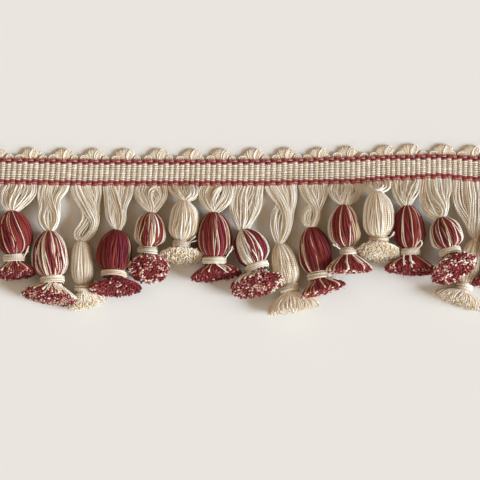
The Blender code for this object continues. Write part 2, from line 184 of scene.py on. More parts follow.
# Plan of each repeat: length of heading, yarn colour, neck, waist and tip of the brush,
# widths of onion, binding and brush
PLANS = table(
    "run colour neck waist tip onion_width waist_width brush_width",
    (15.2, "cream", (-122, -12.3), (-123, -32.4), (-123.9, -43), 14.5, 8.8, 17.8),
    (15.6, "wine", (-108, -17.9), (-106.8, -39.9), (-105.9, -50.9), 16.2, 10.8, 17.3),
    (15.5, "mixed", (-90.7, -27.3), (-89.1, -50.4), (-91.2, -62.6), 17.2, 11.7, 25),
    (15.2, "cream", (-75.7, -31.5), (-74.8, -53.9), (-72, -64.2), 10.8, 8.2, 14.2),
    (15.3, "wine", (-59, -26.8), (-60.3, -47.9), (-59.2, -58.8), 16.6, 12.4, 22.6),
    (15.3, "mixed", (-43, -18.6), (-44.6, -36.4), (-43.4, -53), 15, 9.8, 19),
    (14.7, "cream", (-27.6, -13), (-28.7, -33.4), (-29, -44), 14.5, 8.6, 18.5),
    (15, "wine", (-13.6, -18.6), (-13.4, -41.1), (-11.9, -51.4), 16.6, 11.5, 23.4),
    (15.6, "mixed", (-0.2, -26.8), (6.6, -44.4), (6.6, -58.8), 15.8, 11.6, 23),
    (15.7, "cream", (17, -32.9), (21.9, -54.1), (23.9, -65.8), 12.6, 10, 20.8),
    (14.3, "wine", (31.8, -25.4), (35.4, -48.5), (38.2, -57.2), 15.2, 11, 21),
    (15, "wine", (47, -15.1), (49.4, -36.7), (49.8, -47.4), 15, 8.6, 20.4),
    (14, "cream", (62.6, -8.8), (63.4, -31.7), (63.8, -43.4), 14.6, 9.4, 18.6),
    (14.2, "wine", (76.8, -15.4), (78.2, -37.1), (78.4, -48.7), 14.6, 9.6, 22.6),
    (14.7, "wine", (92.5, -21), (96.7, -37.4), (99.6, -51.4), 15.6, 10.6, 21.4),
    (14.7, "cream", (108.9, -31.2), (103.6, -53.6), (100, -63.6), 11.6, 8, 22),
    (14.7, "wine", (122, -24.9), (119.9, -44.6), (119.4, -55.4), 15.8, 10.8, 21.8),
)

# How each repeat lies: depth of onion and of brush, height that the onion and the brush
# are carried at by a neighbour under them, and roll of the brush
LIES = table(
    "onion_depth brush_depth onion_lift brush_lift roll",
    (12, 12.5, 0, 0, 0),
    (12.8, 12.5, 0, 0, 0),
    (13.2, 13.5, 0, 0, 0),
    (9, 6.6, 0, 0, 0),
    (12.8, 12.5, 0, 2.2, -12),
    (12.4, 15, 0, 4, -8),
    (12, 12.5, 0, 0, 0),
    (12.8, 12, 0, 0, 0),
    (12.6, 13.5, 0, 3.8, 22),
    (8.2, 9, 0, 0, 0),
    (10.4, 11.5, 0, 1.2, -10),
    (12.2, 12, 0.3, 2.8, -18),
    (12, 12.5, 1.6, 3.4, -14),
    (12, 11.5, 0, 0, -16),
    (12.4, 13, 2.6, 8.4, 22),
    (7.2, 8.6, 0, 0, 0),
    (12.4, 12, 0, 0, 0),
)

# How each tassel is dressed: sideways bow of the onion, turn of its yarns from neck to
# waist in degrees, arch of the binding, turns of thread, tone of the thread, lightness of
# the yarns of the onion and of the skirt, yarns that fill the skirt behind its hanks,
# strands that stray across it
DRESSES = table(
    "bow turn arch turns tone light skirt filling stray",
    (0, 0, 0.2, 6, 0.1, 0.04, 0.05, 18, 3),
    (1, -32, 0.3, 6, 0.3, 0.06, 0.05, 28, 7),
    (-0.5, -6, 1, 6, 0.2, 0.05, 0.05, 20, 9),
    (0, 4, 0.2, 6, -0.7, 0.07, 0.05, 10, 3),
    (-0.6, 5, 1.7, 6, -0.1, -0.06, 0.2, 28, 9),
    (0.4, -4, 0.2, 6, 0, 0, 0.05, 12, 4),
    (0.9, 4, 0.2, 6, -0.3, 0, 0.05, 14, 3),
    (0, -8, 0.2, 7, 0.1, 0, 0.05, 12, 5),
    (0.8, 0, 1.3, 6, 0.1, -0.06, 0.12, 26, 6),
    (0.6, 4, 0.4, 7, 0.1, 0.12, 0.05, 24, 6),
    (0, -14, 0.8, 6, 0.1, -0.02, 0.05, 10, 3),
    (-1.1, -8, 0.1, 7, 0, -0.02, 0.05, 7, 4),
    (0.4, 3, 0.1, 6, -0.3, -0.01, 0.05, 7, 3),
    (0.3, -6, 0.3, 6, 0.3, 0, 0.05, 18, 5),
    (0.3, -14, 1.5, 6, 0.2, -0.02, 0.05, 14, 3),
    (0, -6, 0.5, 7, 0.3, 0.03, -0.36, 22, 5),
    (0, -6, 0.4, 6, 0, 0, -0.2, 22, 4),
)

# How each brush is cut: share of cream in its ends, spread beyond its plan, its length as a
# share of the plan's, how late it flares, shortest outer stem as a share of its length, loose
# fibres, tilt and dome of the cut face, stems in a layer, thickness and curl of the strands
CUTS = table(
    "cream spread reach flare shortest fluff tilt dome stems thick curl",
    (1, 1.04, 1, 0.8, 0.6, 1.4, 25, 1.5, 84, 0.72, 0.2),
    (0.2, 1.1, 1, 1, 0.5, 0.3, 24, 1.1, 62, 1, 0.05),
    (0.62, 1.05, 1, 0.7, 0.5, 0.3, 26, 1.3, 62, 1.05, 0.07),
    (1, 1.25, 0.86, 0.6, 0.45, 3.4, 14, 1.8, 84, 0.62, 0.34),
    (0.11, 1.1, 1, 0.8, 0.45, 0.3, 34, 1.2, 62, 1, 0.05),
    (0.32, 1, 1, 0.6, 0.6, 0.3, 56, 2, 62, 1, 0.06),
    (1, 1.08, 1, 0.6, 0.55, 2.4, 36, 2, 84, 0.66, 0.26),
    (0.11, 1.02, 1, 0.8, 0.45, 0.3, 22, 1.1, 62, 1.05, 0.06),
    (0.4, 1.14, 1, 0.8, 0.6, 0.3, 46, 1.5, 62, 1, 0.06),
    (1, 1.18, 1, 0.8, 0.7, 3.6, 12, 1.4, 104, 0.56, 0.12),
    (0.26, 1.04, 1, 0.8, 0.75, 0.3, 10, 1.1, 40, 1.22, 0.07),
    (0.4, 1.06, 1, 0.8, 0.88, 0.3, 5, 1.1, 38, 1.28, 0.07),
    (1, 1.04, 1, 0.42, 0.8, 2, 46, 3, 90, 0.62, 0.12),
    (0.12, 1.1, 1, 0.85, 0.7, 0.3, 20, 1.1, 62, 1, 0.05),
    (0.36, 1.08, 0.96, 0.8, 0.6, 0.3, 58, 1.6, 62, 1, 0.06),
    (1, 1.12, 0.78, 0.5, 0.62, 1.6, 12, 1.1, 76, 0.72, 0.16),
    (0.14, 1.15, 1, 0.9, 0.6, 0.3, 22, 1.1, 62, 1, 0.05),
)

# Order of the yarns over the face of an onion from left to right. w, r, m, d, k: wine, rusty,
# magenta, dark and hollow, where k yarns sink and carry painted shade. c, g, b, o: cream, greyish, beige
# and off-white
YARN_ORDERS = {
    1: "dwwdwwcwmwwmwwcbbwrcwrwwrwmwwcwrrwrrwrrrrr",
    2: "gwwwccwgccbwccgggwdgwrwrmmgggrdrccrwoorrcc",
    4: "rwcwbwmwwrdwwrwdwrrwdrwwmdwmmwmmwdmmmwwbcd",
    5: "ggwbbwrbdwkkbbdrrroogmbbcbboorroooorrrrccc",
    7: "dwbmbwwbwmwwrwrrwrwcmmmwbcwwwmmmwrwwcrbwmm",
    8: "mwmwggggggggokogkwowrwrrwoorwroorwwmwmmwcc",
    10: "cwwcwcbbwwdrmmmwrwrcbwrrwrrwrrwrwrwwdwwddd",
    11: "gbwgmwwmwwrwwkkwccrwwrwmwwrwmwgwcbbwmmbbbc",
    13: "wdwrwdwwdwmcbwrwwmwrwwdbbwmwwrmwcwbcmwmcww",
    14: "ggdwgwmwmgwdbodkdkdookoobkwwmwmwwmcwcwwccc",
}
PLAIN_ORDERS = {"cream": "oobbcoggbbbcoocbbgoocbb", "wine": "wwrwmwwcwrwwmw"}
PALE_LETTERS = ("c", "g", "b", "o")

# Hanks of each skirt: yarns, roll in degrees, lift, tone, and then x, y and half width of each
# point of the course. The hanks that lie low have darker tones, partly their own and partly painted shade
HANKS = (
    (
        (14, 0, 0, 0, -124.8, -5.8, 2.1, -124.8, -8.1, 1.5, -123.2, -10.7, 0.9, -122, -12.3, 0.5),
        (12, 20, 0.2, 0.2, -120.6, -5.8, 2.1, -120.8, -8.1, 1.6, -121.6, -10.7, 0.9, -122, -12.3, 0.5),
        (10, 0, 0, -0.3, -117.3, -5.8, 2.1, -117.8, -8.1, 1.5, -119.9, -10.7, 0.9, -121.8, -12.3, 0.5),
        (12, 0, 0.2, 0.5, -114.1, -5.8, 1.9, -115, -8.1, 1.2, -118.5, -10.9, 0.9, -121.6, -12.3, 0.5),
    ),
    (
        (16, 0, 0, 0, -109.4, -5.8, 2.1, -110.6, -9.5, 2, -111, -12.8, 1.7, -109.9, -16.1, 1,
         -108, -18, 0.5),
        (14, 15, 0.3, 0.4, -105.4, -5.8, 1.9, -106.6, -9.5, 1.5, -107.8, -13.3, 1.1, -108, -16.1, 0.7,
         -107.8, -18, 0.4),
        (6, 0, -0.6, -0.8, -103.3, -5.8, 1.4, -104.3, -9.5, 1.1, -106.1, -13.3, 0.8, -107.5, -18, 0.4),
        (16, 0, 0.1, -0.1, -99.6, -5.8, 2.8, -99.8, -9.1, 2.2, -101.9, -12.8, 1.7, -105, -16.1, 1.1,
         -107.3, -18, 0.5),
    ),
    (
        (14, 0, 0, 0, -94, -5.8, 1.9, -94.4, -10.5, 1.4, -93.5, -15.6, 1.5, -94.2, -20.8, 1.6,
         -92.8, -25, 1.2, -90.7, -27.3, 0.5),
        (12, 60, 0.4, 0.1, -91.6, -5.8, 1.9, -92.1, -10, 1.6, -90.2, -15.1, 1.4, -88.1, -19.4, 1.4,
         -88.1, -23.6, 1.2, -90, -27.3, 0.5),
        (9, 0, -0.6, -0.7, -87.9, -5.8, 1.9, -88.8, -9.5, 1.6, -90.7, -14.2, 1.2, -91.6, -19.4, 1.2,
         -91.4, -23.6, 1, -90.5, -27.3, 0.5),
        (14, 20, 0.1, 0.3, -83.7, -5.8, 2.1, -84.7, -8.6, 1.4, -87, -12.3, 0.9, -87.2, -16.5, 1.2,
         -87, -21.2, 1.1, -88.1, -25, 0.9, -90, -27.3, 0.5),
    ),
    (
        (16, 25, 0.5, 0.5, -78.5, -5.8, 2.1, -77.4, -10, 1.9, -74.8, -14.7, 1.7, -72, -18.9, 1.5,
         -69.9, -22.6, 1, -70.8, -26.8, 0.8, -73.4, -30.3, 0.6, -75.3, -31.7, 0.5),
        (11, 15, 0.1, 0, -73.9, -5.8, 1.9, -72.9, -10, 1.9, -70.6, -15.1, 1.6, -69.2, -19.4, 1.1,
         -69.2, -23.6, 0.8, -70.8, -27.8, 0.7, -73.6, -30.8, 0.6, -75.3, -31.7, 0.5),
        (13, 20, -0.2, -0.1, -77.6, -5.8, 2.3, -76.2, -10.9, 1.6, -74.6, -16.5, 1.2, -73.9, -21.2, 1.1,
         -75.5, -25, 1, -77.6, -27.8, 0.8, -77.6, -30.1, 0.7, -75.7, -31.7, 0.5),
        (9, 0, -0.3, 0.1, -68.7, -5.8, 1.9, -68.3, -10, 1.2, -68.5, -14.7, 0.8, -68.3, -18.9, 0.7,
         -68.7, -23.1, 0.6, -70.4, -27.3, 0.6, -73.9, -30.8, 0.5, -75.3, -31.7, 0.5),
    ),
    (
        (14, 0, 0, 0.1, -63.6, -5.8, 1.9, -63.1, -10.5, 1.4, -62.6, -15.6, 1.5, -62.2, -20.3, 1.5,
         -60.5, -24.5, 1, -58.7, -26.6, 0.5),
        (14, 30, 0.4, 0.2, -62.2, -5.8, 2.3, -60.8, -10.5, 1.9, -58.7, -15.6, 1.6, -57.3, -20.3, 1.3,
         -57.5, -24, 0.9, -58.4, -26.6, 0.5),
        (9, 0, -0.6, -0.6, -57.5, -5.8, 1.9, -57.3, -10, 1.4, -58.4, -14.7, 1.3, -59.8, -19.4, 1.3,
         -59.6, -23.6, 0.9, -58.7, -26.6, 0.5),
        (13, 0, 0.2, 0.6, -53.5, -5.8, 2.3, -54, -10, 1.8, -55.2, -14.2, 1.1, -56, -18.4, 0.8,
         -56.3, -22.6, 0.7, -58, -26.4, 0.5),
    ),
    (
        (12, 0, 0.2, 0.1, -48.6, -5.8, 1.9, -49.1, -9.1, 1.4, -47.2, -13.3, 1.2, -44.9, -16.5, 0.8,
         -43, -18.7, 0.5),
        (10, 20, 0.4, 0.3, -45.8, -5.8, 1.6, -46, -9.1, 1.4, -44.4, -12.8, 1.2, -43, -16.1, 0.8,
         -42.8, -18.7, 0.5),
        (8, 0, -0.5, -0.6, -43.5, -5.8, 1.4, -41.1, -9.1, 1.2, -40, -12.3, 1, -41.4, -16.1, 0.8,
         -42.5, -18.7, 0.5),
        (6, 0, 0, 0.5, -40.2, -5.8, 1.4, -43, -8.6, 1, -43.5, -11.9, 0.7, -42.5, -15.6, 0.7,
         -42.5, -18.7, 0.5),
        (13, 0, 0.2, 0.2, -37.9, -5.8, 2.1, -37.2, -9.5, 1.3, -38.3, -13.3, 1.1, -40.7, -16.5, 0.8,
         -42.5, -18.7, 0.5),
    ),
    (
        (12, 0, 0.1, 0, -33.2, -6, 1.9, -32.3, -8.1, 1.4, -30.2, -10.5, 0.9, -28.1, -12.8, 0.5),
        (12, 0, -0.3, -0.5, -29.5, -6, 1.9, -29.2, -8.1, 1.4, -28.3, -10.7, 0.9, -27.6, -13, 0.5),
        (10, 40, 0.3, 0.5, -26.2, -6, 1.9, -24.8, -8.1, 1.6, -24.8, -10.5, 1.2, -26.6, -12.8, 0.6),
        (11, 0, 0.1, 0.1, -22.7, -6, 1.6, -22, -8.1, 1, -23.1, -10.9, 0.8, -26.2, -12.8, 0.6),
    ),
    (
        (12, 0, 0, 0.1, -18.7, -5.8, 1.6, -19.6, -9.5, 1.1, -18.2, -13.7, 0.9, -15.9, -16.8, 0.7,
         -13.8, -18.4, 0.5),
        (10, 0, 0.2, 0.3, -16.1, -5.8, 1.4, -17.1, -9.5, 1.1, -16.4, -13.7, 0.9, -14.7, -16.8, 0.7,
         -13.6, -18.4, 0.5),
        (9, 0, -0.2, -0.2, -13.6, -5.8, 1.6, -14.5, -9.1, 1.2, -14.5, -13.3, 0.8, -13.8, -16.5, 0.6,
         -13.3, -18.4, 0.5),
        (6, 0, 0.7, 0.6, -10.3, -6.3, 0.9, -12.6, -9.5, 0.7, -13.8, -13.3, 0.6, -13.6, -16.5, 0.5,
         -13.3, -18.4, 0.5),
        (8, 0, 0.1, 0.5, -8.6, -5.8, 1.1, -8.4, -9.5, 0.7, -10.1, -13.3, 0.7, -11.9, -16.1, 0.6,
         -12.9, -18.2, 0.5),
        (11, 0, 0.1, 0.2, -6.5, -5.8, 1.4, -6.1, -9.5, 0.8, -7.5, -13.5, 0.7, -10.3, -16.5, 0.7,
         -12.6, -18.3, 0.5),
    ),
    (
        (14, 0, 0, 0.1, -3.3, -5.8, 1.9, -4, -10.5, 1.4, -4.4, -15.6, 1.4, -3.5, -20.3, 1.3, -1.6, -25, 0.9,
         -0.5, -27.1, 0.5),
        (14, 50, 0.4, 0.2, 0.5, -5.8, 2.1, -0.5, -10.5, 1.9, -0.5, -15.6, 1.9, 0, -20.8, 1.7,
         -0.2, -25, 0.9, -0.2, -27.1, 0.5),
        (9, 0, -0.1, -0.4, 3.3, -5.8, 1.9, 2.1, -10.5, 1.4, 2.1, -15.6, 1.2, 2.3, -20.8, 0.9, 1.2, -25, 0.7,
         0, -27.1, 0.5),
        (14, 15, 0.1, 0.4, 7.2, -5.8, 2.3, 6.8, -10, 1.8, 6.3, -14.7, 1.6, 5.4, -18.4, 1.4, 3.7, -22.2, 1,
         1.6, -25.7, 0.7, 0.2, -27.1, 0.5),
    ),
    (
        (15, 20, 0.5, 0.4, 13.1, -5.8, 2.6, 15, -10, 1.9, 18.2, -14.7, 1.5, 20.3, -19.4, 1.4,
         20.6, -24.5, 1.3, 19.2, -29.2, 1, 17.3, -32.9, 0.5),
        (12, 15, 0.1, -0.1, 17.8, -5.8, 2.1, 19.2, -10.5, 1.6, 21, -15.6, 1.4, 21.7, -20.8, 1.1,
         20.8, -25.9, 1, 18.9, -30.1, 0.8, 17.3, -32.9, 0.5),
        (12, 0, -0.1, 0.4, 22.9, -5.8, 2.1, 23.4, -10.9, 1.4, 22.7, -16.5, 1.1, 22, -21.7, 0.9,
         20.8, -26.8, 0.8, 18.7, -31, 0.7, 17.3, -32.9, 0.5),
        (12, 15, -0.2, 0.2, 16.8, -5.8, 2.3, 17.8, -10.5, 1.6, 17.1, -15.1, 1.2, 15.2, -18.9, 1.2,
         14.5, -23.6, 1.3, 15.2, -28.2, 1.1, 16.8, -32.9, 0.5),
    ),
    (
        (15, 20, 0.5, 0.4, 28.5, -5.8, 2.3, 29.9, -9.5, 1.9, 32.5, -13.3, 1.5, 34.4, -17, 0.9,
         34.4, -20.8, 0.7, 33, -24, 0.6, 32, -25.7, 0.5),
        (12, 20, 0.2, 0.1, 33.2, -5.8, 2.1, 33.7, -9.5, 1.6, 33.4, -13.3, 1.2, 30.9, -16.5, 1,
         28.8, -19.6, 0.9, 28.8, -22.6, 0.8, 31.1, -25.7, 0.5),
        (8, 0, -0.3, -0.3, 31.3, -6.3, 1.9, 31.8, -10, 1.4, 32.7, -14.2, 0.9, 31.6, -18, 0.8,
         30.4, -21.2, 0.7, 31.1, -24, 0.6, 31.8, -25.7, 0.5),
        (13, 0, -0.1, 0, 37.6, -5.8, 2.1, 37.9, -9.5, 1.4, 36.5, -13.7, 1, 35.1, -17.5, 0.7,
         34.6, -21.2, 0.6, 33.2, -24.5, 0.6, 32, -25.7, 0.5),
    ),
    (
        (8, 0, 0.2, 0.4, 42.5, -5.6, 1.9, 41.8, -8.1, 1.2, 43.5, -11.9, 0.9, 46.8, -15.1, 0.5),
        (9, 0, -0.2, -0.2, 45.8, -5.6, 1.9, 45.6, -8.1, 1.4, 46.5, -11.9, 0.9, 47.2, -15.1, 0.5),
        (8, 10, 0, 0, 49.8, -5.6, 1.9, 49.8, -8.1, 1.5, 48.9, -11.9, 0.9, 47.7, -15.1, 0.5),
        (8, 0, 0.2, 0.3, 53.5, -5.6, 1.9, 54, -8.4, 1, 51.9, -12.1, 0.8, 48.2, -14.9, 0.5),
    ),
    (
        (9, 15, 0.2, 0.3, 57.5, -4.9, 2.1, 57.7, -6.5, 1.4, 59.6, -7.9, 0.7, 62.4, -8.8, 0.4),
        (7, 0, -0.1, -0.1, 61.7, -4.9, 2.1, 61.9, -6.5, 1.4, 62.4, -8.8, 0.4),
        (9, 15, 0.3, 0.5, 66.9, -4.9, 2.2, 67.3, -6.5, 1.4, 65.5, -7.9, 0.7, 62.9, -8.8, 0.4),
    ),
    (
        (12, 0, 0, 0.1, 70.8, -4.4, 1.6, 71.3, -8.1, 1.1, 72.5, -11.9, 0.8, 75, -15.1, 0.6,
         76.4, -15.8, 0.5),
        (12, 0, -0.1, -0.3, 73.9, -4.4, 1.9, 73.6, -8.1, 1.4, 74.8, -11.9, 1.1, 76.2, -15.1, 0.6),
        (11, 20, 0.2, 0.2, 77.6, -4.4, 1.9, 77.1, -8.1, 1.5, 77.4, -11.9, 1.2, 76.9, -15.1, 0.6),
        (13, 25, 0.4, 0.5, 81.8, -4.4, 1.6, 80.4, -8.1, 1.7, 78.5, -11.9, 1.2, 77.4, -15.1, 0.6),
    ),
    (
        (12, 0, 0, 0.1, 85.1, -4.4, 1.4, 84.4, -9.1, 1, 84.6, -13.7, 0.9, 86, -17.5, 0.8, 88.8, -20.1, 0.7,
         91.9, -21, 0.5),
        (14, 20, 0.5, 0.5, 87.4, -4.4, 2.1, 88.1, -8.6, 1.8, 90.7, -12.8, 1.4, 93, -16.1, 1,
         93.5, -18.9, 0.7, 92.3, -21, 0.5),
        (11, 0, 0.1, 0.1, 91.2, -4.4, 1.9, 91.6, -8.6, 1.6, 93.3, -12.8, 1.2, 94.4, -16.1, 0.7,
         93.7, -19.1, 0.6, 92.3, -21, 0.5),
        (10, 0, -0.1, -0.2, 95.6, -4.4, 1.9, 95.6, -8.1, 1.4, 94.9, -12.3, 0.9, 94.9, -16.1, 0.7,
         94, -19.1, 0.5, 92.6, -21, 0.5),
        (6, 0, -0.6, -0.8, 86.5, -5.3, 1.4, 86, -10, 0.9, 87.9, -14.2, 0.8, 91.2, -17, 0.7,
         92.6, -19.4, 0.6, 92.3, -21, 0.5),
    ),
    (
        (8, 0, 0, 0.4, 99.6, -4.4, 1.4, 99.3, -9.5, 0.8, 100.5, -15.6, 0.8, 103.1, -19.8, 0.7,
         105.2, -23.6, 0.7, 106.6, -27.8, 0.7, 108.5, -31, 0.5),
        (6, 0, -0.5, -0.6, 101.9, -4.4, 1.1, 101.9, -9.5, 0.7, 102.9, -15.1, 0.7, 105, -19.8, 0.7,
         106.1, -24.5, 0.7, 107.3, -28.2, 0.7, 108.7, -31, 0.5),
        (15, 10, 0.1, 0.1, 105.2, -4.4, 1.9, 105.7, -10, 1.4, 106.4, -15.6, 1.4, 106.8, -21.2, 1.3,
         106.6, -25.9, 1.1, 107.5, -29.2, 0.8, 108.8, -31, 0.5),
        (14, 20, 0.3, 0.3, 108.5, -4.4, 1.9, 109.2, -10, 1.6, 109.4, -15.6, 1.5, 109.4, -21.2, 1.4,
         109.2, -26.4, 1.1, 109.2, -31, 0.5),
        (9, 0, 0.1, 0.3, 111.5, -4.4, 1.2, 111.7, -10, 0.9, 111.7, -15.6, 0.8, 111.3, -21.2, 0.8,
         110.6, -26.4, 0.8, 109.4, -31, 0.5),
    ),
    (
        (14, 0, 0.1, 0.2, 115.5, -4.4, 2.3, 115.5, -9.5, 1.9, 116.9, -15.6, 1.7, 119.7, -21.2, 1.1,
         121.8, -25, 0.5),
        (12, 20, 0.3, 0.1, 119.2, -4.4, 2.1, 119.2, -9.5, 1.9, 120.1, -15.6, 1.7, 121.1, -21.2, 1,
         122, -25, 0.5),
        (11, 0, -0.2, -0.4, 122, -4.4, 2.1, 122, -9.5, 1.9, 122.3, -15.6, 1.5, 122.3, -21.2, 0.9,
         122.2, -25, 0.5),
        (13, 0, 0.1, 0.3, 125.1, -4.4, 2.1, 125.3, -9.5, 1.6, 124.8, -15.6, 1.3, 123.4, -21.2, 0.9,
         122.4, -25, 0.5),
    ),
)

# Places of the tall picots from the start of their repeats, and steps from them to the
# low ones, with their sizes
TALL_PICOT_PLACES = (
    11.3, 12.1, 11.9, 11.2, 10.7, 10.6, 10.5, 10.1, 10, 9.9, 9.3, 8.8, 11.1, 9.3, 10.6, 9.4, 9.6)
LOW_PICOTS = ((-9.5, 0.84), (-4.7, 1))

# Free threads of the bindings: tassel, then the points that the thread follows
FREE_THREADS = (
    (1, ((-102.3, -39.2, 8.6), (-101.3, -37.9, 9.3), (-100.2, -35.8, 9.6))),
    (1, ((-102.3, -39.6, 8.8), (-101, -37, 9.8), (-99.9, -34.6, 9.9))),
    (3, ((-71.2, -53.6, 6.6), (-69.9, -52.6, 7.9), (-68, -51, 8.4))),
    (6, ((-25.6, -32.6, 8.4), (-23.8, -31.2, 9.3), (-22.2, -29.8, 9.6))),
    (6, ((-25.6, -33, 8.2), (-23.4, -32.1, 9), (-21.8, -31.8, 9))),
    (7, ((-8.6, -40.4, 8.4), (-7.2, -38.4, 9.5), (-5.9, -36.4, 9.7), (-5, -34.2, 9.7))),
    (7, ((-8.4, -40.6, 8.6), (-6.8, -38, 9.9), (-5.4, -35.4, 9.9))),
    (7, ((-12.4, -42.6, 11.9), (-9.8, -44.5, 11.9), (-7.4, -46.2, 11.1))),
    (10, ((39.9, -48.9, 7.6), (42.2, -48.4, 9.2), (44.2, -48.6, 9.5))),
    (10, ((39.9, -49.3, 7.6), (42.4, -49.4, 9.3), (44.6, -49.6, 9.4))),
    (11, ((45.7, -35.9, 8.3), (44.2, -35, 9.6), (42.9, -33.4, 10))),
    (12, ((67.3, -31, 9.4), (68.9, -29.9, 10.5), (70, -28.4, 11))),
    (12, ((67.3, -31.2, 9.4), (69.2, -29.6, 10.6), (70.8, -28.2, 11))),
    (13, ((80.2, -35.6, 11.9), (80.9, -33.2, 12.5), (82.8, -31.6, 12.6), (83.2, -33.4, 12.7),
         (81.2, -34.6, 12.5), (79.6, -35.6, 12))),
    (13, ((75, -38.4, 11.6), (74.8, -40.6, 12), (75.2, -42.6, 11.9))),
    (13, ((78, -38.6, 11.9), (78.3, -40.8, 12.2), (79.4, -42.8, 12))),
)

# Tints of the yarns: share of wine, brightness, and hue from warm to cool. The hollow k has no brightness:
# painted shade.
TINTS = {
    "w": (1.0, 0.38, 0.34), "r": (1.0, 0.52, 0.05), "m": (0.97, 0.50, 1.0), "d": (1.0, 0.04, 0.35),
    "k": (1.0, 0.0, 0.30), "p": (0.62, 0.58, 1.0), "c": (0.0, 0.62, 0.50), "g": (0.0, 0.56, 0.75),
    "b": (0.0, 0.60, 0.06), "o": (0.0, 0.92, 0.88),
}
# Cores of the onions and hearts of the brushes are darker than their yarns: painted shade of the inside
# that shows between them.
SHADED_CORE_TINTS = {"cream": (0.0, 0.40, 0.25), "wine": (1.0, 0.15, 0.35), "mixed": (0.9, 0.15, 0.35)}
THREAD_TINT = (0.0, 0.80, 0.75)
EAR_TINT = (0.0, 0.62, 0.75)
RUST = (0.95, 1.0, 0.0)
DEEP_RUST = (1.0, 0.26, 0.0)
PINK = (0.80, 0.80, 1.0)
MAGENTA = (0.90, 0.74, 1.0)
DARK_WINE = (1.0, 0.05, 0.70)
SLIT = (0.22, 0.55, 0.70)

# Floats of the borders, for one rib and the next, counted from an edge inwards: distance,
# thickness in float yarns, tint, height and bow. Between them lie the cream floats
TOP_FLOATS = (
    ((0.42, 1.00, PINK, 1.12, 0), (0.92, 0.65, SLIT, 1.00, 0),
     (1.40, 1.15, DARK_WINE, 0.95, 0), (2.05, 1.35, MAGENTA, 1.15, 0)),
    ((0.15, 1.25, RUST, 1.2, -0.1), (0.78, 1.30, DEEP_RUST, 1.2, 0), (1.38, 1.20, RUST, 1.1, 0.1)),
)
FOOT_FLOATS = (
    ((0.32, 1.25, RUST, 1.15, 0.1), (0.92, 1.25, RUST, 1.2, 0),
     (1.48, 1.15, DEEP_RUST, 1.15, 0), (2.05, 1.25, MAGENTA, 1.1, -0.1)),
    ((0.62, 1.00, PINK, 1.05, 0), (1.16, 0.70, SLIT, 0.95, 0),
     (1.70, 1.15, MAGENTA, 1.0, 0.1), (2.42, 1.35, RUST, 1.15, 0.2)),
)
BODY_INSETS = ((2.82, 2.78), (2.12, 3.10))
BODY_FLOATS = (7, 8)
BODY_THICKNESS, BODY_HEIGHT = 1.66, 0.58
PALE_FLOAT = (0.0, 0.60, 0.70)
DULL_FLOAT = (0.0, 0.50, 0.50)
PALE_SHARE = 0.22

# Tall picots: half widths of the fan at its foot, its bulge and its tip, and least and most
# height. Its two ears and the low picots: half width, rise, height above the floor, letter
FAN_LOOPS = 17
FAN_FOOT, FAN_BULGE, FAN_TIP = 2.3, 4.40, 4.70
FAN_HEIGHTS = (4.6, 5.3)
EARS = ((1.70, 0.94, 1.04), (1.10, 0.74, 1.00))
LOW_LOOPS = (
    (1.95, 2.00, 0.86, "o"), (1.50, 1.60, 0.74, "b"), (1.05, 1.30, 0.70, "c"), (0.62, 0.95, 0.64, "b"),
    (0.25, 0.60, 0.58, "b"))

# Soft lights: degrees round from the right towards the picots, degrees above the floor
LIGHTS = table(
    "name around above strength colour",
    ("key", -15, 22, 5.88, (0.762, 0.879, 1.0)),
    ("side", -120, 22, 0.82, (0.80, 0.895, 0.89)),
    ("back", 150, 45, 0.42, (0.80, 0.835, 0.86)),
)
VIEW_CENTRE = Vector((-0.0014, -0.0315, 0.0))
FLOOR_DROP = 0.0002
FLOOR_HALF = 4.0
FLOOR_GRAIN = (0.985, 1.015)


def thickness(name, what, default, least=0.0002, most=0.002):
    """Property of a small length."""
    return FloatProperty(
        name=name, description=what, default=default, min=least, max=most, precision=5, unit="LENGTH")


def colour(name, what, default):
    """Property of a colour."""
    return FloatVectorProperty(
        name=name, description=what, subtype="COLOR", size=3, min=0.0, max=1.0, default=default)


class FringeYarns(bpy.types.PropertyGroup):
    """Sizes of the strands."""

    skirt_yarn: thickness("Skirt yarn", "Thickness of a yarn of the skirts", 0.00052)
    onion_yarn: thickness("Onion yarn", "Thickness of a yarn over an onion", 0.00078)
    brush_yarn: thickness("Brush yarn", "Thickness of a cut strand of a brush", 0.00088)
    picot_yarn: thickness("Picot yarn", "Thickness of a yarn of the picot loops", 0.00060)
    float_yarn: thickness("Warp float", "Thickness of a warp float of the heading", 0.00062)
    binding_thread: thickness("Binding thread", "Thickness of the thread round a waist", 0.00051)
    ply_length: thickness("Ply length", "Length of one turn of a plied yarn", 0.0020, 0.0003, 0.01)
    cut_end_spacing: thickness(
        "Cut end spacing", "Distance between the cut ends of a brush", 0.00090, 0.0004, 0.003)
    sides: IntProperty(
        name="Yarn sides", description="Sides of a swept yarn", default=5, min=3, max=12)
    seed: IntProperty(
        name="Seed", description="Seed of all the small irregularities", default=11, min=0)


class FringeColours(bpy.types.PropertyGroup):
    """Dye lots of the yarns."""

    cream_warm: colour("Warm cream", "Golden end of the cream yarns", (0.645, 0.488, 0.300))
    cream_light: colour("Light cream", "Off-white end of the cream yarns", (0.87, 0.79, 0.69))
    wine_rust: colour("Rusty wine", "Warm end of the wine yarns", (0.266, 0.042, 0.026))
    wine_magenta: colour("Magenta wine", "Cool end of the wine yarns", (0.222, 0.018, 0.043))
    blush: colour("Blush", "Half dyed yarn between cream and wine", (0.62, 0.25, 0.22))


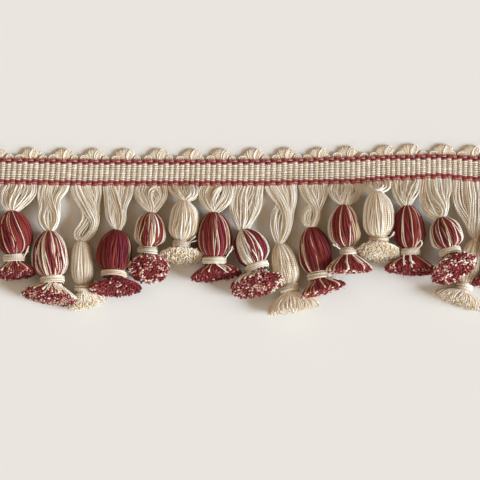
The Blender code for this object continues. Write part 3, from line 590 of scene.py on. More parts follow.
class FringeStage(bpy.types.PropertyGroup):
    """Floor, lights and camera."""

    floor_colour: colour("Floor", "Colour of the surface that the length lies on", (0.80, 0.78, 0.73))
    light_strength: FloatProperty(
        name="Soft lights", description="Strength of the soft lights together", default=1.0, min=0.0)
    softness: FloatProperty(
        name="Softness", description="Width of each soft light as seen from the length",
        default=math.radians(30), min=0.0, max=math.pi, subtype="ANGLE")
    fill_strength: FloatProperty(
        name="Fill", description="Strength of the even light all round", default=0.34, min=0.0)
    fill_colour: colour("Fill colour", "Colour of the even light all round", (1.0, 0.68, 0.41))
    view_width: FloatProperty(
        name="View width", description="Width of floor that the camera sees",
        default=0.2253, min=0.05, unit="LENGTH")
    camera_height: FloatProperty(
        name="Camera height", description="Height of the camera over the length",
        default=1.5, min=0.3, unit="LENGTH")


def ease(share):
    """Smooth step from 0 to 1."""
    share = np.clip(share, 0.0, 1.0)
    return share * share * (3.0 - 2.0 * share)


def smooth_rows(rows, count):
    """Rows of numbers eased into count rows, evenly spaced on one curve through them."""
    rows = np.asarray(rows, float)
    ends = np.vstack((2 * rows[0] - rows[1], rows, 2 * rows[-1] - rows[-2]))
    t = np.linspace(0.0, 1.0, 12, endpoint=False)[:, None]
    stretches = []
    for before, near, far, after in zip(ends, ends[1:], ends[2:], ends[3:]):
        stretches.append(0.5 * (
            2 * near
            + (far - before) * t
            + (2 * before - 5 * near + 4 * far - after) * t ** 2
            + (3 * near - before - 3 * far + after) * t ** 3
        ))
    dense = np.vstack(stretches + [rows[-1:]])
    steps = np.linalg.norm(np.diff(dense[:, :2], axis=0), axis=1)
    travel = np.concatenate(([0.0], np.cumsum(steps)))
    places = np.linspace(0.0, travel[-1], count)
    return np.column_stack([np.interp(places, travel, column) for column in dense.T])


def wander(rng, yarns, steps, reach, waves=1.4):
    """Slow drift of each yarn along its length, nothing at both ends."""
    along = np.linspace(0.0, 1.0, steps)
    phase = rng.uniform(0.0, TURN, (yarns, 1))
    pace = waves * rng.uniform(0.6, 1.4, (yarns, 1))
    return reach * np.sin(TURN * pace * along + phase) * np.sin(np.pi * along)


def jitter(rng, tints, shade=0.14, hue=0.16):
    """Tints with a little of their own brightness and hue for each strand."""
    tints = np.array(tints, float)
    tints[..., 1] += rng.normal(0.0, shade, tints.shape[:-1])
    tints[..., 2] += rng.normal(0.0, hue, tints.shape[:-1])
    return np.clip(tints, 0.0, 1.0)


def edges_at(x):
    """Lower and upper edge of the heading at x, eased between the rows of its course."""
    for left, right in zip(HEADING_COURSE, HEADING_COURSE[1:]):
        if x <= right.x:
            break
    share = float(ease((x - left.x) / (right.x - left.x)))
    middle = left.middle + (right.middle - left.middle) * share
    width = left.width + (right.width - left.width) * share
    return middle - width / 2, middle + width / 2


def plan_direction(start, end):
    """Unit vector in plan from one point to another, and the way across it."""
    along = Vector((end[0] - start[0], end[1] - start[1], 0.0)).normalized()
    return along, Vector((-along.y, along.x, 0.0))


def ring_points(centre, across, wide, high, angle):
    """Points at the given angles of upright rings round the points of a centre line."""
    return (
        centre
        + (wide * np.cos(angle))[..., None] * np.array(across)
        + (high * np.sin(angle))[..., None] * np.array(UPWARDS)
    )


class Tassel:
    """One repeat: its rows of the tables, and the measures that follow from them."""

    def __init__(self, index, hanks, *rows):
        self.index = index
        self.hanks = [(*hank[:4], np.reshape(hank[4:], (-1, 3))) for hank in hanks]
        for row in rows:
            vars(self).update(row._asdict())
        self.is_cream = self.colour == "cream"
        plain = PLAIN_ORDERS.get(self.colour, "") * 4
        self.order = YARN_ORDERS.get(index, plain[index:index + FACE_YARNS])
        self.along, self.across = plan_direction(self.neck, self.waist)
        self.level = self.onion_lift + self.onion_depth / 2 - ONION_SINK
        self.waist_half = self.waist_width / 2 - BINDING_THICKNESS - PIECE_GAP
        flatness = self.onion_depth / self.onion_width
        self.waist_rise = self.waist_half * min(1.0, flatness * WAIST_FULLNESS)

    def skirt_level(self, t, arch):
        """Height of the skirt's yarns on their way from the heading to the neck."""
        drop = self.level - NECK_DROP - SKIRT_FOOT
        return SKIRT_FOOT + drop * ease(t) + arch * np.sin(np.pi * t)

    def tints_at(self, angle):
        """Letters and tints of the yarns at the given angles round the onion, from above."""
        places = (0.5 * (1.0 + np.cos(angle)) * len(self.order)).astype(int)
        letters = np.array(list(self.order))[np.minimum(places, len(self.order) - 1)]
        return letters, tints_of(letters)


TASSELS = [Tassel(index, *rows) for index, rows in enumerate(zip(HANKS, PLANS, LIES, DRESSES, CUTS))]
HEADING_LENGTH = sum(tassel.run for tassel in TASSELS)
# X of each line between two ribs, from one cut end to the other
RIB_LINES = list(accumulate(
    (tassel.run / RIBS_PER_REPEAT for tassel in TASSELS for _ in range(RIBS_PER_REPEAT)),
    initial=-HEADING_LENGTH / 2))


def tints_of(letters):
    return np.array([TINTS[letter] for letter in letters])


def pale_ones(letters):
    return np.isin(letters, PALE_LETTERS)


class Skein:
    """Guide lines of many yarns in millimetres, gathered until one sweep makes them."""

    def __init__(self):
        self.points = []
        self.thick = []
        self.tints = []
        self.edges = []
        self.total = 0

    def lay(self, lines, thick, tint, lowest=0.0):
        """Add yarns: lines is yarns x steps x 3, thick and tint are shaped to match it."""
        lines = np.array(lines, float)
        if lines.ndim == 2:
            lines = lines[None]
        lines[..., 2] = np.maximum(lines[..., 2], lowest)
        yarns, steps = lines.shape[:2]
        self.points.append(lines.reshape(-1, 3))
        self.thick.append(np.broadcast_to(thick, (yarns, steps)).reshape(-1))
        self.tints.append(np.broadcast_to(tint, (yarns, steps, 3)).reshape(-1, 3))
        first = self.total + np.arange(yarns)[:, None] * steps + np.arange(steps - 1)
        self.edges.append(np.stack((first, first + 1), -1).reshape(-1, 2))
        self.total += yarns * steps

    def guide_mesh(self, name):
        """All guides as one mesh of edges in metres, with their thickness and tint."""
        mesh = bpy.data.meshes.new(name)
        edges = np.concatenate(self.edges)
        mesh.vertices.add(self.total)
        mesh.vertices.foreach_set("co", (np.concatenate(self.points) * MM).ravel())
        mesh.edges.add(len(edges))
        mesh.edges.foreach_set("vertices", edges.ravel())
        thick = mesh.attributes.new("thick", "FLOAT", "POINT")
        thick.data.foreach_set("value", np.concatenate(self.thick))
        tint = mesh.attributes.new("tint", "FLOAT_VECTOR", "POINT")
        tint.data.foreach_set("vector", np.concatenate(self.tints).ravel())
        return mesh


class Wiring:
    """Adds nodes to a tree. An input is given another node's socket or a plain value."""

    def __init__(self, tree):
        self.tree = tree

    def feed(self, sockets, inputs):
        for key, value in inputs.items():
            if isinstance(value, bpy.types.NodeSocket):
                self.tree.links.new(value, sockets[key])
            else:
                sockets[key].default_value = value

    def add(self, kind, inputs, **settings):
        """New node with its settings and inputs. Gives its outputs."""
        node = self.tree.nodes.new(kind)
        for name, value in settings.items():
            setattr(node, name, value)
        self.feed(node.inputs, inputs)
        return node.outputs

    def math(self, operation, *values):
        return self.add("ShaderNodeMath", dict(enumerate(values)), operation=operation)["Value"]

    def mix(self, share, first, second):
        """Mix of two colours, each a socket or a plain colour."""
        first, second = (
            value if isinstance(value, bpy.types.NodeSocket) else (*value, 1.0)
            for value in (first, second))
        inputs = {"Factor": share, "A": first, "B": second}
        return self.add("ShaderNodeMix", inputs, data_type="RGBA")["Result"]

    def attribute(self, name):
        return self.add("ShaderNodeAttribute", {}, attribute_name=name)

    def parts_of(self, name):
        """The three numbers of a vector attribute."""
        vector = self.attribute(name)["Vector"]
        return self.add("ShaderNodeSeparateXYZ", {"Vector": vector}).values()

    def noise(self, scale, detail=2.0):
        place = self.add("ShaderNodeTexCoord", {})["Object"]
        inputs = {"Vector": place, "Scale": scale, "Detail": detail}
        return self.add("ShaderNodeTexNoise", inputs)["Fac"]

    def scaled(self, vector, gain):
        inputs = {0: vector, "Scale": gain}
        return self.add("ShaderNodeVectorMath", inputs, operation="SCALE")["Vector"]

    def bump(self, height, strength, distance):
        inputs = {"Height": height, "Strength": strength, "Distance": distance}
        return self.add("ShaderNodeBump", inputs)["Normal"]


def yarn_tree():
    """Node tree that sweeps guide edges into yarns, made once and shared by all pieces."""
    name = "Yarns along guides"
    if name in bpy.data.node_groups:
        return bpy.data.node_groups[name]
    tree = bpy.data.node_groups.new(name, "GeometryNodeTree")
    for socket, way, kind in (
        ("Guides", "INPUT", "Geometry"), ("Thickness", "INPUT", "Float"), ("Sides", "INPUT", "Int"),
        ("Yarn", "INPUT", "Material"), ("Yarns", "OUTPUT", "Geometry"),
    ):
        tree.interface.new_socket(socket, in_out=way, socket_type="NodeSocket" + kind)
    wiring = Wiring(tree)
    add = wiring.add
    start = add("NodeGroupInput", {})
    guides = add("GeometryNodeMeshToCurve", {"Mesh": start["Guides"]})["Curve"]
    travel = add("GeometryNodeSplineParameter", {})["Length"]
    guides = add(
        "GeometryNodeStoreNamedAttribute",
        {"Geometry": guides, "Name": "run", "Value": travel})["Geometry"]
    circle = add("GeometryNodeCurvePrimitiveCircle", {"Radius": 1.0, "Resolution": start["Sides"]})
    place = add("GeometryNodeInputPosition", {})["Position"]
    ring = add(
        "GeometryNodeStoreNamedAttribute",
        {"Geometry": circle["Curve"], "Name": "ring", "Value": place},
        data_type="FLOAT_VECTOR")["Geometry"]
    thick = add("GeometryNodeInputNamedAttribute", {"Name": "thick"})["Attribute"]
    half = wiring.math("MULTIPLY", start["Thickness"], 0.5)
    radius = wiring.math("MULTIPLY", thick, half)
    yarns = add(
        "GeometryNodeCurveToMesh",
        {"Curve": guides, "Profile Curve": ring, "Scale": radius, "Fill Caps": True})["Mesh"]
    for kind in ("GeometryNodeSetShadeSmooth", "GeometryNodeRealizeInstances"):
        yarns = add(kind, {"Geometry": yarns})["Geometry"]
    yarns = add("GeometryNodeSetMaterial", {"Geometry": yarns, "Material": start["Yarn"]})["Geometry"]
    add("NodeGroupOutput", {"Yarns": yarns})
    return tree


def add_object(name, data):
    obj = bpy.data.objects.new(name, data)
    bpy.context.scene.collection.objects.link(obj)
    return obj


def sweep(name, skein, thick, material):
    """Turn a skein into one plain mesh object of closed yarns."""
    guides = skein.guide_mesh(name + "_guides")
    obj = add_object(name, guides)
    modifier = obj.modifiers.new("Yarns", "NODES")
    modifier.node_group = yarn_tree()
    sides = bpy.context.scene.fringe_yarns.sides
    values = {"Thickness": thick, "Sides": sides, "Yarn": material}
    for item in modifier.node_group.interface.items_tree:
        if item.name in values and item.in_out == "INPUT":
            modifier[item.identifier] = values[item.name]
    depsgraph = bpy.context.evaluated_depsgraph_get()
    mesh = bpy.data.meshes.new_from_object(
        obj.evaluated_get(depsgraph), preserve_all_data_layers=True, depsgraph=depsgraph)
    obj.modifiers.remove(modifier)
    obj.data = mesh
    mesh.name = name
    bpy.data.meshes.remove(guides)
    if not mesh.polygons:
        raise RuntimeError(f"{name} came out empty")
    return obj


def new_material(name):
    """Empty material, the wiring of its nodes and the inputs of its shader."""
    material = bpy.data.materials.new(name)
    material.use_nodes = True
    return material, Wiring(material.node_tree), material.node_tree.nodes["Principled BSDF"].inputs


def yarn_material(name, ply_groove_shade, gloss=0.25, fuzz=0.22):
    """Plied yarn: dye, brightness and hue come with each strand, the ply from its sweep, with painted shade
    in the grooves between the plies.
    """
    if name in bpy.data.materials:
        return bpy.data.materials[name]
    colours = bpy.context.scene.fringe_colours
    material, wiring, shader = new_material(name)
    calculate, mix = wiring.math, wiring.mix

    dye, shade, hue = wiring.parts_of("tint")
    ring_x, ring_y, _ = wiring.parts_of("ring")
    run = wiring.attribute("run")["Fac"]
    pace = 4 * math.pi / bpy.context.scene.fringe_yarns.ply_length
    turn = calculate("MULTIPLY_ADD", run, pace, calculate("ARCTAN2", ring_y, ring_x))
    ply = calculate("SINE", calculate("MULTIPLY_ADD", hue, 40.0, turn))

    toned = calculate("MULTIPLY_ADD", ply, 0.20, hue)
    cream = mix(toned, colours.cream_warm, colours.cream_light)
    wine = mix(toned, colours.wine_rust, colours.wine_magenta)
    half_dyed = mix(calculate("MULTIPLY", dye, 2.0), cream, colours.blush)
    fibre = mix(calculate("MULTIPLY_ADD", dye, 2.0, -1.0), half_dyed, wine)

    hair = wiring.noise(5200.0)
    level = calculate("MULTIPLY_ADD", shade, 0.72, 0.55)
    patchy = calculate("MULTIPLY_ADD", wiring.noise(420.0, 3.0), 0.42, 0.79)
    # Painted shade: the colour darkens in the grooves between the plies, more on wine yarns.
    swing = calculate("MULTIPLY_ADD", dye, 0.36 * ply_groove_shade, 0.27 * ply_groove_shade)
    plied = calculate("MULTIPLY_ADD", ply, swing, 1.0)
    gain = calculate("MULTIPLY", calculate("MULTIPLY", level, patchy), plied)
    palest = {0: wiring.scaled(fibre, gain), 1: (0.94, 0.92, 0.88)}
    height = calculate("MULTIPLY_ADD", hair, 0.5, ply)
    wiring.feed(shader, {
        "Base Color": wiring.add("ShaderNodeVectorMath", palest, operation="MINIMUM")["Vector"],
        "Roughness": calculate("MULTIPLY_ADD", hair, 0.25, 0.55),
        "Normal": wiring.bump(height, 0.5, 0.00006),
        "Specular IOR Level": gloss,
        "Sheen Weight": fuzz,
        "Sheen Roughness": 0.45,
        "Sheen Tint": (1.0, 0.93, 0.84, 1.0),
    })
    return material


def weave_material(name):
    """Ground of the heading: cream cloth with wine along both edges, ribbed by its wefts, its colour
    darkened all over and in the grooves between the ribs as painted shade.
    """
    colours = bpy.context.scene.fringe_colours
    material, wiring, shader = new_material(name)
    place = wiring.add("ShaderNodeTexCoord", {})["Object"]
    inputs = {"Vector": place, "Scale": 260.0, "Distortion": 1.2, "Detail Scale": 400.0}
    ribs_and_groove_shade = wiring.add("ShaderNodeTexWave", inputs, bands_direction="Y")["Fac"]
    noise = wiring.noise(1500.0)
    cream = wiring.mix(noise, colours.cream_warm, colours.cream_light)
    cloth = wiring.mix(wiring.attribute("edge")["Fac"], cream, colours.wine_rust)
    # Painted shade: the colour is kept at half to two thirds of the cloth's and darkens further in the
    # grooves between the ribs.
    wiring.feed(shader, {
        "Base Color": wiring.scaled(cloth, wiring.math("MULTIPLY_ADD", ribs_and_groove_shade, 0.25, 0.45)),
        "Roughness": wiring.math("MULTIPLY_ADD", noise, 0.2, 0.65),
        "Normal": wiring.bump(ribs_and_groove_shade, 0.6, 0.00012),
        "Specular IOR Level": 0.25,
        "Sheen Weight": 0.25,
    })
    return material


def rib_lean(x):
    """How far a rib's top stands to the right of its foot at x."""
    low, high = LEAN_FADES
    return RIB_LEAN * (1.0 - float(ease((x - low) / (high - low))))


def make_band(name, material):
    """Closed ribbed band, flat underneath, from one cut end to the other."""
    stations = [
        (left + (right - left) * share, math.sin(math.pi * share))
        for left, right in zip(RIB_LINES, RIB_LINES[1:]) for share in RIB_SECTIONS]
    bm = bmesh.new()
    edge_layer = bm.verts.layers.float.new("edge")
    rows = []
    for x, swell in stations + [(RIB_LINES[-1], 0.0)]:
        low, high = edges_at(x)
        low, high = low + BAND_MARGIN, high - BAND_MARGIN
        rise = BAND_VALLEY + (BAND_CREST - BAND_VALLEY) * swell
        section = [(low, 0.0), (low, BAND_EDGE)]
        section += [(y, rise) for y in np.linspace(low + 0.35, high - 0.35, 7)]
        section += [(high, BAND_EDGE), (high, 0.0)]
        slope = rib_lean(x)
        row = []
        for y, z in section:
            vert = bm.verts.new((x + slope * (y - low), y, z))
            vert[edge_layer] = y < low + BORDER_WIDTHS[0] or y > high - BORDER_WIDTHS[1]
            row.append(vert)
        rows.append(row)
    for near, far in zip(rows, rows[1:]):
        for corners in zip(near, near[1:] + near[:1], far[1:] + far[:1], far):
            bm.faces.new(corners).smooth = True
    bm.faces.new(rows[0][::-1])
    bm.faces.new(rows[-1])
    bmesh.ops.recalc_face_normals(bm, faces=bm.faces[:])
    bmesh.ops.scale(bm, vec=(MM, MM, MM), verts=bm.verts[:])
    mesh = bpy.data.meshes.new(name)
    bm.to_mesh(mesh)
    bm.free()
    mesh.materials.append(material)
    return add_object(name, mesh)


def lay_float(skein, rng, left, right, y, thick, tint, height, bow):
    """One short lens of a warp float over a rib, its ends sunk at the rib's sides."""
    share = np.linspace(0.0, 1.0, 7)
    arch = np.sin(np.pi * (0.03 + 0.94 * share))
    x = left - 0.06 + (right - left + 0.12) * share
    across = y - bow * (1.0 - arch) + rng.normal(0.0, 0.03)
    z = BAND_VALLEY - FLOAT_SINK + FLOAT_RELIEF * height * arch ** 0.5
    slim = 0.24 if tint[0] == 0.0 else 0.62
    thick = thick * (slim + (1.0 - slim) * arch ** 0.8)
    skein.lay(np.column_stack((x, across, z)), thick, jitter(rng, tint, 0.06, 0.12))


def lay_floats(skein, rng):
    """Floats of every rib: border rows at both edges and cream rows between them."""
    for rib, (left, right) in enumerate(zip(RIB_LINES, RIB_LINES[1:])):
        kind = rib % 2
        middle = (left + right) / 2
        low, high = edges_at(middle)
        rows = [(high - inset, *rest) for inset, *rest in TOP_FLOATS[kind]]
        rows += [(low + inset, *rest) for inset, *rest in FOOT_FLOATS[kind]]
        from_top, from_foot = BODY_INSETS[kind]
        last = BODY_FLOATS[kind] - 1
        for place, y in enumerate(np.linspace(high - from_top, low + from_foot, last + 1)):
            pale = place in (0, last) or rng.random() < PALE_SHARE
            rows.append((y, BODY_THICKNESS, PALE_FLOAT if pale else DULL_FLOAT, BODY_HEIGHT, 0.0))
        for y, *rest in rows:
            shift = rib_lean(middle) * (y - low)
            lay_float(skein, rng, left + shift, right + shift, y, *rest)


def lay_loop(skein, rng, rows, tint, steps, thick=1.0):
    """One loop of yarn through its rows of x, y and z."""
    tint = jitter(rng, np.add(tint, (0.0, 0.10, 0.0)), 0.08, 0.12)
    skein.lay(smooth_rows(rows, steps), thick * rng.uniform(0.9, 1.1), tint)


def lay_tall_picot(skein, rng, middle, height):
    """Loops side by side in a rounded fan, and two off-white ones that open like an ear."""
    base = edges_at(middle)[1]
    lean = rng.normal(0.15, 0.35)
    for side in np.linspace(-1.0, 1.0, FAN_LOOPS):
        foot = middle + FAN_FOOT * side
        tip = middle + lean + FAN_TIP * side + rng.normal(0.0, 0.14)
        bulge = middle + 0.7 * lean + FAN_BULGE * side
        rise = height * (0.95 + 0.07 * side - 0.40 * abs(side) ** 2.2)
        rise += rng.normal(0.0, 0.14)
        level = 0.44 + 0.30 * (1.0 - side ** 6) + rng.uniform(-0.08, 0.08)
        rows = (
            (foot, base - 0.8, 0.7),
            (foot * 0.5 + bulge * 0.5, base + 0.35 * rise, level),
            (bulge, base + 0.72 * rise, level + 0.15),
            (tip * 0.97 + middle * 0.03, base + 0.95 * rise, level + 0.05),
            (tip * 0.92 + middle * 0.08, base + rise, level - 0.10),
            (foot + 0.1, base - 0.8, 0.40),
        )
        letter = rng.choice(list("bbcccg"))
        lay_loop(skein, rng, rows, TINTS[letter], 16, 0.92)
    for half, rise, level in EARS:
        centre = middle + 1.7 + rng.normal(0.0, 0.35)
        rise *= height
        rows = (
            (centre - 0.9, base - 0.8, 0.9),
            (centre - 1.0 * half, base + 0.35 * rise, level),
            (centre - 0.45 * half, base + 0.78 * rise, level),
            (centre + 0.30 * half, base + rise, level - 0.1),
            (centre + half, base + 0.78 * rise, level - 0.3),
            (centre + 0.8 * half, base + 0.40 * rise, level - 0.3),
            (centre, base - 0.8, 0.8),
        )
        lay_loop(skein, rng, rows, EAR_TINT, 18)


def lay_low_picot(skein, rng, centre, size):
    """Small arch of loops one inside the other, the outer one off-white."""
    base = edges_at(centre)[1]
    size *= rng.uniform(0.86, 1.06)
    for half, rise, level, letter in LOW_LOOPS:
        middle = centre + rng.normal(0.0, 0.14)
        half *= size * rng.uniform(0.90, 1.08)
        rise *= size * rng.uniform(0.85, 1.08)
        rows = (
            (middle - half * 0.9, base - 0.7, 0.8),
            (middle - half, base + 0.35 * rise, level),
            (middle - half * 0.5, base + 0.92 * rise, level + 0.1),
            (middle + half * 0.5, base + 0.95 * rise, level + 0.1),
            (middle + half, base + 0.35 * rise, level),
            (middle + half * 0.85, base - 0.7, 0.8),
        )
        lay_loop(skein, rng, rows, TINTS[letter], 13, 0.84)


def lay_picots(skein, rng):
    """A tall fan of loops and two low loops over each repeat."""
    start = RIB_LINES[0]
    for tassel, place in zip(TASSELS, TALL_PICOT_PLACES):
        lay_tall_picot(skein, rng, start + place, rng.uniform(*FAN_HEIGHTS))
        for step, size in LOW_PICOTS:
            lay_low_picot(skein, rng, start + place + step + rng.normal(0.0, 0.12), size)
        start += tassel.run


def lay_hank(skein, rng, tassel, marks, roll, lift, tone, course):
    """Yarns of one hank from the heading down to the neck of its tassel."""
    steps = HANK_STEPS + int(sum(abs(course[:-1, 1] - course[1:, 1])) * STEPS_PER_MM)
    root_x, _, root_half = course[0]
    edge = edges_at(root_x)[0]
    rows = [(root_x, edge + ROOT_TUCK, root_half), (root_x, edge - 0.6, root_half)]
    rows += [(x, y, max(half * HANK_FULLNESS + 0.25, HANK_LEAST)) for x, y, half in course[1:-1]]
    end_x, end_y, _ = course[-1]
    rows.append((end_x, end_y, NECK_HALF))
    rows.append((end_x + tassel.along.x * NECK_TUCK, end_y + tassel.along.y * NECK_TUCK, NECK_HALF))
    path = smooth_rows(rows, steps)
    way = np.gradient(path[:, :2], axis=0)
    way /= np.linalg.norm(way, axis=1)[:, None]
    aside = np.stack((-way[:, 1], way[:, 0]), -1)
    t = np.linspace(0.0, 1.0, steps)

    yarns = round(marks * YARNS_PER_MARK)
    share = np.linspace(-1.0, 1.0, yarns) + rng.uniform(-0.9, 0.9, yarns) / yarns
    depth = rng.uniform(-1.0, 1.0, yarns) * np.sqrt(np.clip(1.0 - 0.85 * share ** 2, 0.0, 1.0))
    roll = math.radians(roll) * ease(t)
    share, depth = share[:, None], depth[:, None]
    turned = share * np.cos(roll) - depth * np.sin(roll)
    stacked = share * np.sin(roll) + depth * np.cos(roll)
    sideways = turned * path[:, 2] + wander(rng, yarns, steps, 0.24, 1.0)
    level = tassel.skirt_level(t, SKIRT_ARCH + lift)
    z = level + stacked * np.interp(t, *HANK_DEPTH) + wander(rng, yarns, steps, 0.20)
    lines = np.dstack((path[:, :2] + aside * sideways[..., None], z))
    tints = np.zeros((yarns, 1, 3))
    # Brightness: the hank's tone, the skirt's lightness, and painted shade that darkens the yarns lying
    # deeper in the hank.
    tints[..., 1] = 1.0 + 0.14 * tone + tassel.skirt + 0.20 * depth
    tints[..., 2] = 0.56 + 0.20 * tone
    tints = jitter(rng, tints, 0.17, 0.20)
    skein.lay(lines, rng.uniform(0.84, 1.12, (yarns, 1)), tints, LOW_THREAD)


def skirt_middle(tassel, steps):
    """Course and half width of the whole skirt, from the courses of its hanks."""
    paths = []
    for *_, course in tassel.hanks:
        x, _, half = course[0]
        paths.append(smooth_rows([(x, edges_at(x)[0] + ROOT_TUCK, half), *course[1:]], steps))
    x, y, _ = np.moveaxis(paths, -1, 0)
    left, right = x.min(axis=0), x.max(axis=0)
    return (left + right) / 2, y.mean(axis=0), np.maximum((right - left) / 2 + 0.5, NECK_HALF)


def lay_filling(skein, rng, tassel):
    """Yarns that lie lower than the hanks and close the skirt behind them, darker and warmer as painted
    shade.
    """
    steps, yarns = 15, tassel.filling
    x, y, half = skirt_middle(tassel, steps)
    share = np.linspace(-0.96, 0.96, yarns)[:, None] + rng.normal(0.0, 0.05, (yarns, 1))
    x = x + share * half + wander(rng, yarns, steps, 0.4)
    level = tassel.skirt_level(np.linspace(0.0, 1.0, steps), -0.5)
    z = level + rng.uniform(-0.5, 0.3, (yarns, 1))
    # Painted shade: the filling is darker and warmer than the hanks over it.
    tints = jitter(rng, np.tile((0.0, 0.64, 0.30), (yarns, 1, 1)), 0.12, 0.2)
    lines = np.stack(np.broadcast_arrays(x, y, z), -1)
    skein.lay(lines, rng.uniform(0.85, 1.1, (yarns, 1)), tints, LOW_THREAD)


def lay_strays(skein, rng, tassel):
    """Strands that stray over the hanks from one side of the skirt towards the other."""
    steps, strays = 16, tassel.stray
    x, y, half = skirt_middle(tassel, steps)
    t = np.linspace(0.0, 1.0, steps)
    first, last = rng.uniform(-0.85, 0.85, (2, strays, 1))
    share = first + (last - first) * ease(t * 1.25)
    x = x + share * (half - 0.5) + wander(rng, strays, steps, 0.3)
    z = tassel.skirt_level(t, SKIRT_ARCH + 0.55)
    tints = jitter(rng, np.tile((0.0, 0.84, 0.65), (strays, 1, 1)), 0.12, 0.25)
    lines = np.stack(np.broadcast_arrays(x, y, z), -1)
    skein.lay(lines, rng.uniform(0.9, 1.1, (strays, 1)), tints)


def lay_skirt(skein, rng, tassel):
    """Whole skirt: yarns behind, marked hanks, strays over them."""
    lay_filling(skein, rng, tassel)
    for hank in tassel.hanks:
        lay_hank(skein, rng, tassel, *hank)
    lay_strays(skein, rng, tassel)


def face_angles(order):
    """Angles of the yarns over the face: one for each pale stripe, and one for two others."""
    places, run = [], 0
    for place, letter in enumerate(order):
        run = 0 if letter in PALE_LETTERS and "w" in order else run + 1
        if run == 0 or run % 2:
            places.append(place)
    return np.arccos(2.0 * (np.array(places) + 0.5) / len(order) - 1.0)


def onion_frame(tassel, steps):
    """Middle line, half widths and half heights of an onion from its dimple to its waist."""
    neck = Vector((*tassel.neck, tassel.level - NECK_DROP))
    waist = Vector((*tassel.waist, tassel.level))
    length = (waist - neck).length
    half_width, half_height = tassel.onion_width / 2, tassel.onion_depth / 2
    waist_half, waist_rise = tassel.waist_half, tassel.waist_rise
    clear = BINDING_HALF_WIDTH + PIECE_GAP
    rows = [(0.9, 0.10 * half_width, 0.10 * half_height)]
    rows += [(along * length, width * half_width, width * half_height) for along, width in ONION_PROFILE]
    rows += [
        (length - clear - SHOULDER_LENGTH, (half_width + waist_half) / 2, (half_height + waist_rise) / 2),
        (length - clear, waist_half + 0.15, waist_rise + 0.15),
        (length + clear * 0.6, waist_half, waist_rise),
    ]
    along, wide, high = smooth_rows(rows, steps).T
    share = np.clip(along / length, 0.0, 1.2)
    centre = np.outer(1.0 - share, neck) + np.outer(share, waist)
    centre += np.outer(np.sin(np.pi * np.clip(share, 0.0, 1.0)) * tassel.bow, tassel.across)
    return centre, share, wide, high


def lay_onion(skein, rng, tassel):
    """Yarns over the onion from its neck to the far side of the waist, over a solid core."""
    steps = 17
    centre, share, wide, high = onion_frame(tassel, steps)

    def over_onion(angle, proud):
        """Lines of yarns at the given angles, standing proud of the solid."""
        widened = np.maximum(wide - YARN_SINK + proud * ease(wide / FULL_ROUND), LEAST_ROUND)
        raised = np.maximum(high - YARN_SINK + proud * ease(widened / FULL_ROUND), LEAST_ROUND)
        return ring_points(centre, tassel.across, widened, raised, angle)

    below = -np.pi * (np.arange(YARNS_BELOW) + 0.5) / YARNS_BELOW
    angle = np.concatenate((face_angles(tassel.order), below))
    count = len(angle)
    letters, tints = tassel.tints_at(angle)
    tints[:, 1] += tassel.light
    wine = ~pale_ones(letters)
    tints += wine[:, None] * rng.normal(0.0, (0.0, 0.16, 0.26), (count, 3))
    proud = rng.uniform(-0.24, 0.12, (count, 1))
    # Painted shade: yarns that lie deeper in the onion are darker.
    tints[:, 1] += 0.8 * proud[:, 0] + 0.02
    tints = jitter(rng, tints, 0.20, 0.24)[:, None]
    turn = math.radians(tassel.turn) * (ease(share) - 0.5)
    drift = rng.normal(0.0, 0.014, (count, 1)) + wander(rng, count, steps, 0.05, 1.0)
    proud = proud + wander(rng, count, steps, 0.10)
    hollow = np.where(letters == "k", -1.1, 0.0)[:, None]
    hollow = hollow * np.sin(np.pi * np.clip(share, 0, 1)) ** 0.5
    swell = np.interp(wide, (0.5, 2.5, wide.max()), (0.60, 0.85, 1.0))
    lines = over_onion(angle[:, None] + turn + drift, proud + hollow)
    thick = rng.uniform(0.90, 1.10, (count, 1))
    if not tassel.is_cream:
        thick *= np.where(wine, 1.0, 0.62 if tassel.colour == "wine" else 0.66)[:, None]
    skein.lay(lines, thick * swell, tints, LOW_ONION)

    under = np.pi * (np.arange(UNDER_YARNS) + rng.random(UNDER_YARNS)) / UNDER_YARNS
    _, tints = tassel.tints_at(under)
    # Painted shade: the under yarns are a little darker.
    tints[:, 1] += tassel.light - 0.06
    tints = jitter(rng, tints, 0.10, 0.15)[:, None]
    deep = rng.uniform(-0.62, -0.45, (UNDER_YARNS, 1))
    skein.lay(over_onion(under[:, None] + turn, deep), 1.05 * swell, tints, LOW_ONION)

    angle = rng.uniform(0.12, 0.88, LOOSE_YARNS) * np.pi
    tints = jitter(rng, tassel.tints_at(angle)[1], 0.10, 0.12)[:, None]
    slant = rng.normal(0.0, 0.30, (LOOSE_YARNS, 1)) * (ease(share) - 0.3)
    proud = 0.16 + wander(rng, LOOSE_YARNS, steps, 0.08)
    skein.lay(over_onion(angle[:, None] + turn + slant, proud), 0.88 * swell, tints, LOW_ONION)

    core = centre + (0.0, 0.0, 0.1)
    yarn = bpy.context.scene.fringe_yarns.onion_yarn / MM
    radius = np.maximum(np.minimum(wide, high) - CORE_COVER, 0.2) * 2 / yarn
    # The core is darker than the yarns: painted shade.
    skein.lay(core[1:-1], radius[1:-1], SHADED_CORE_TINTS[tassel.colour])


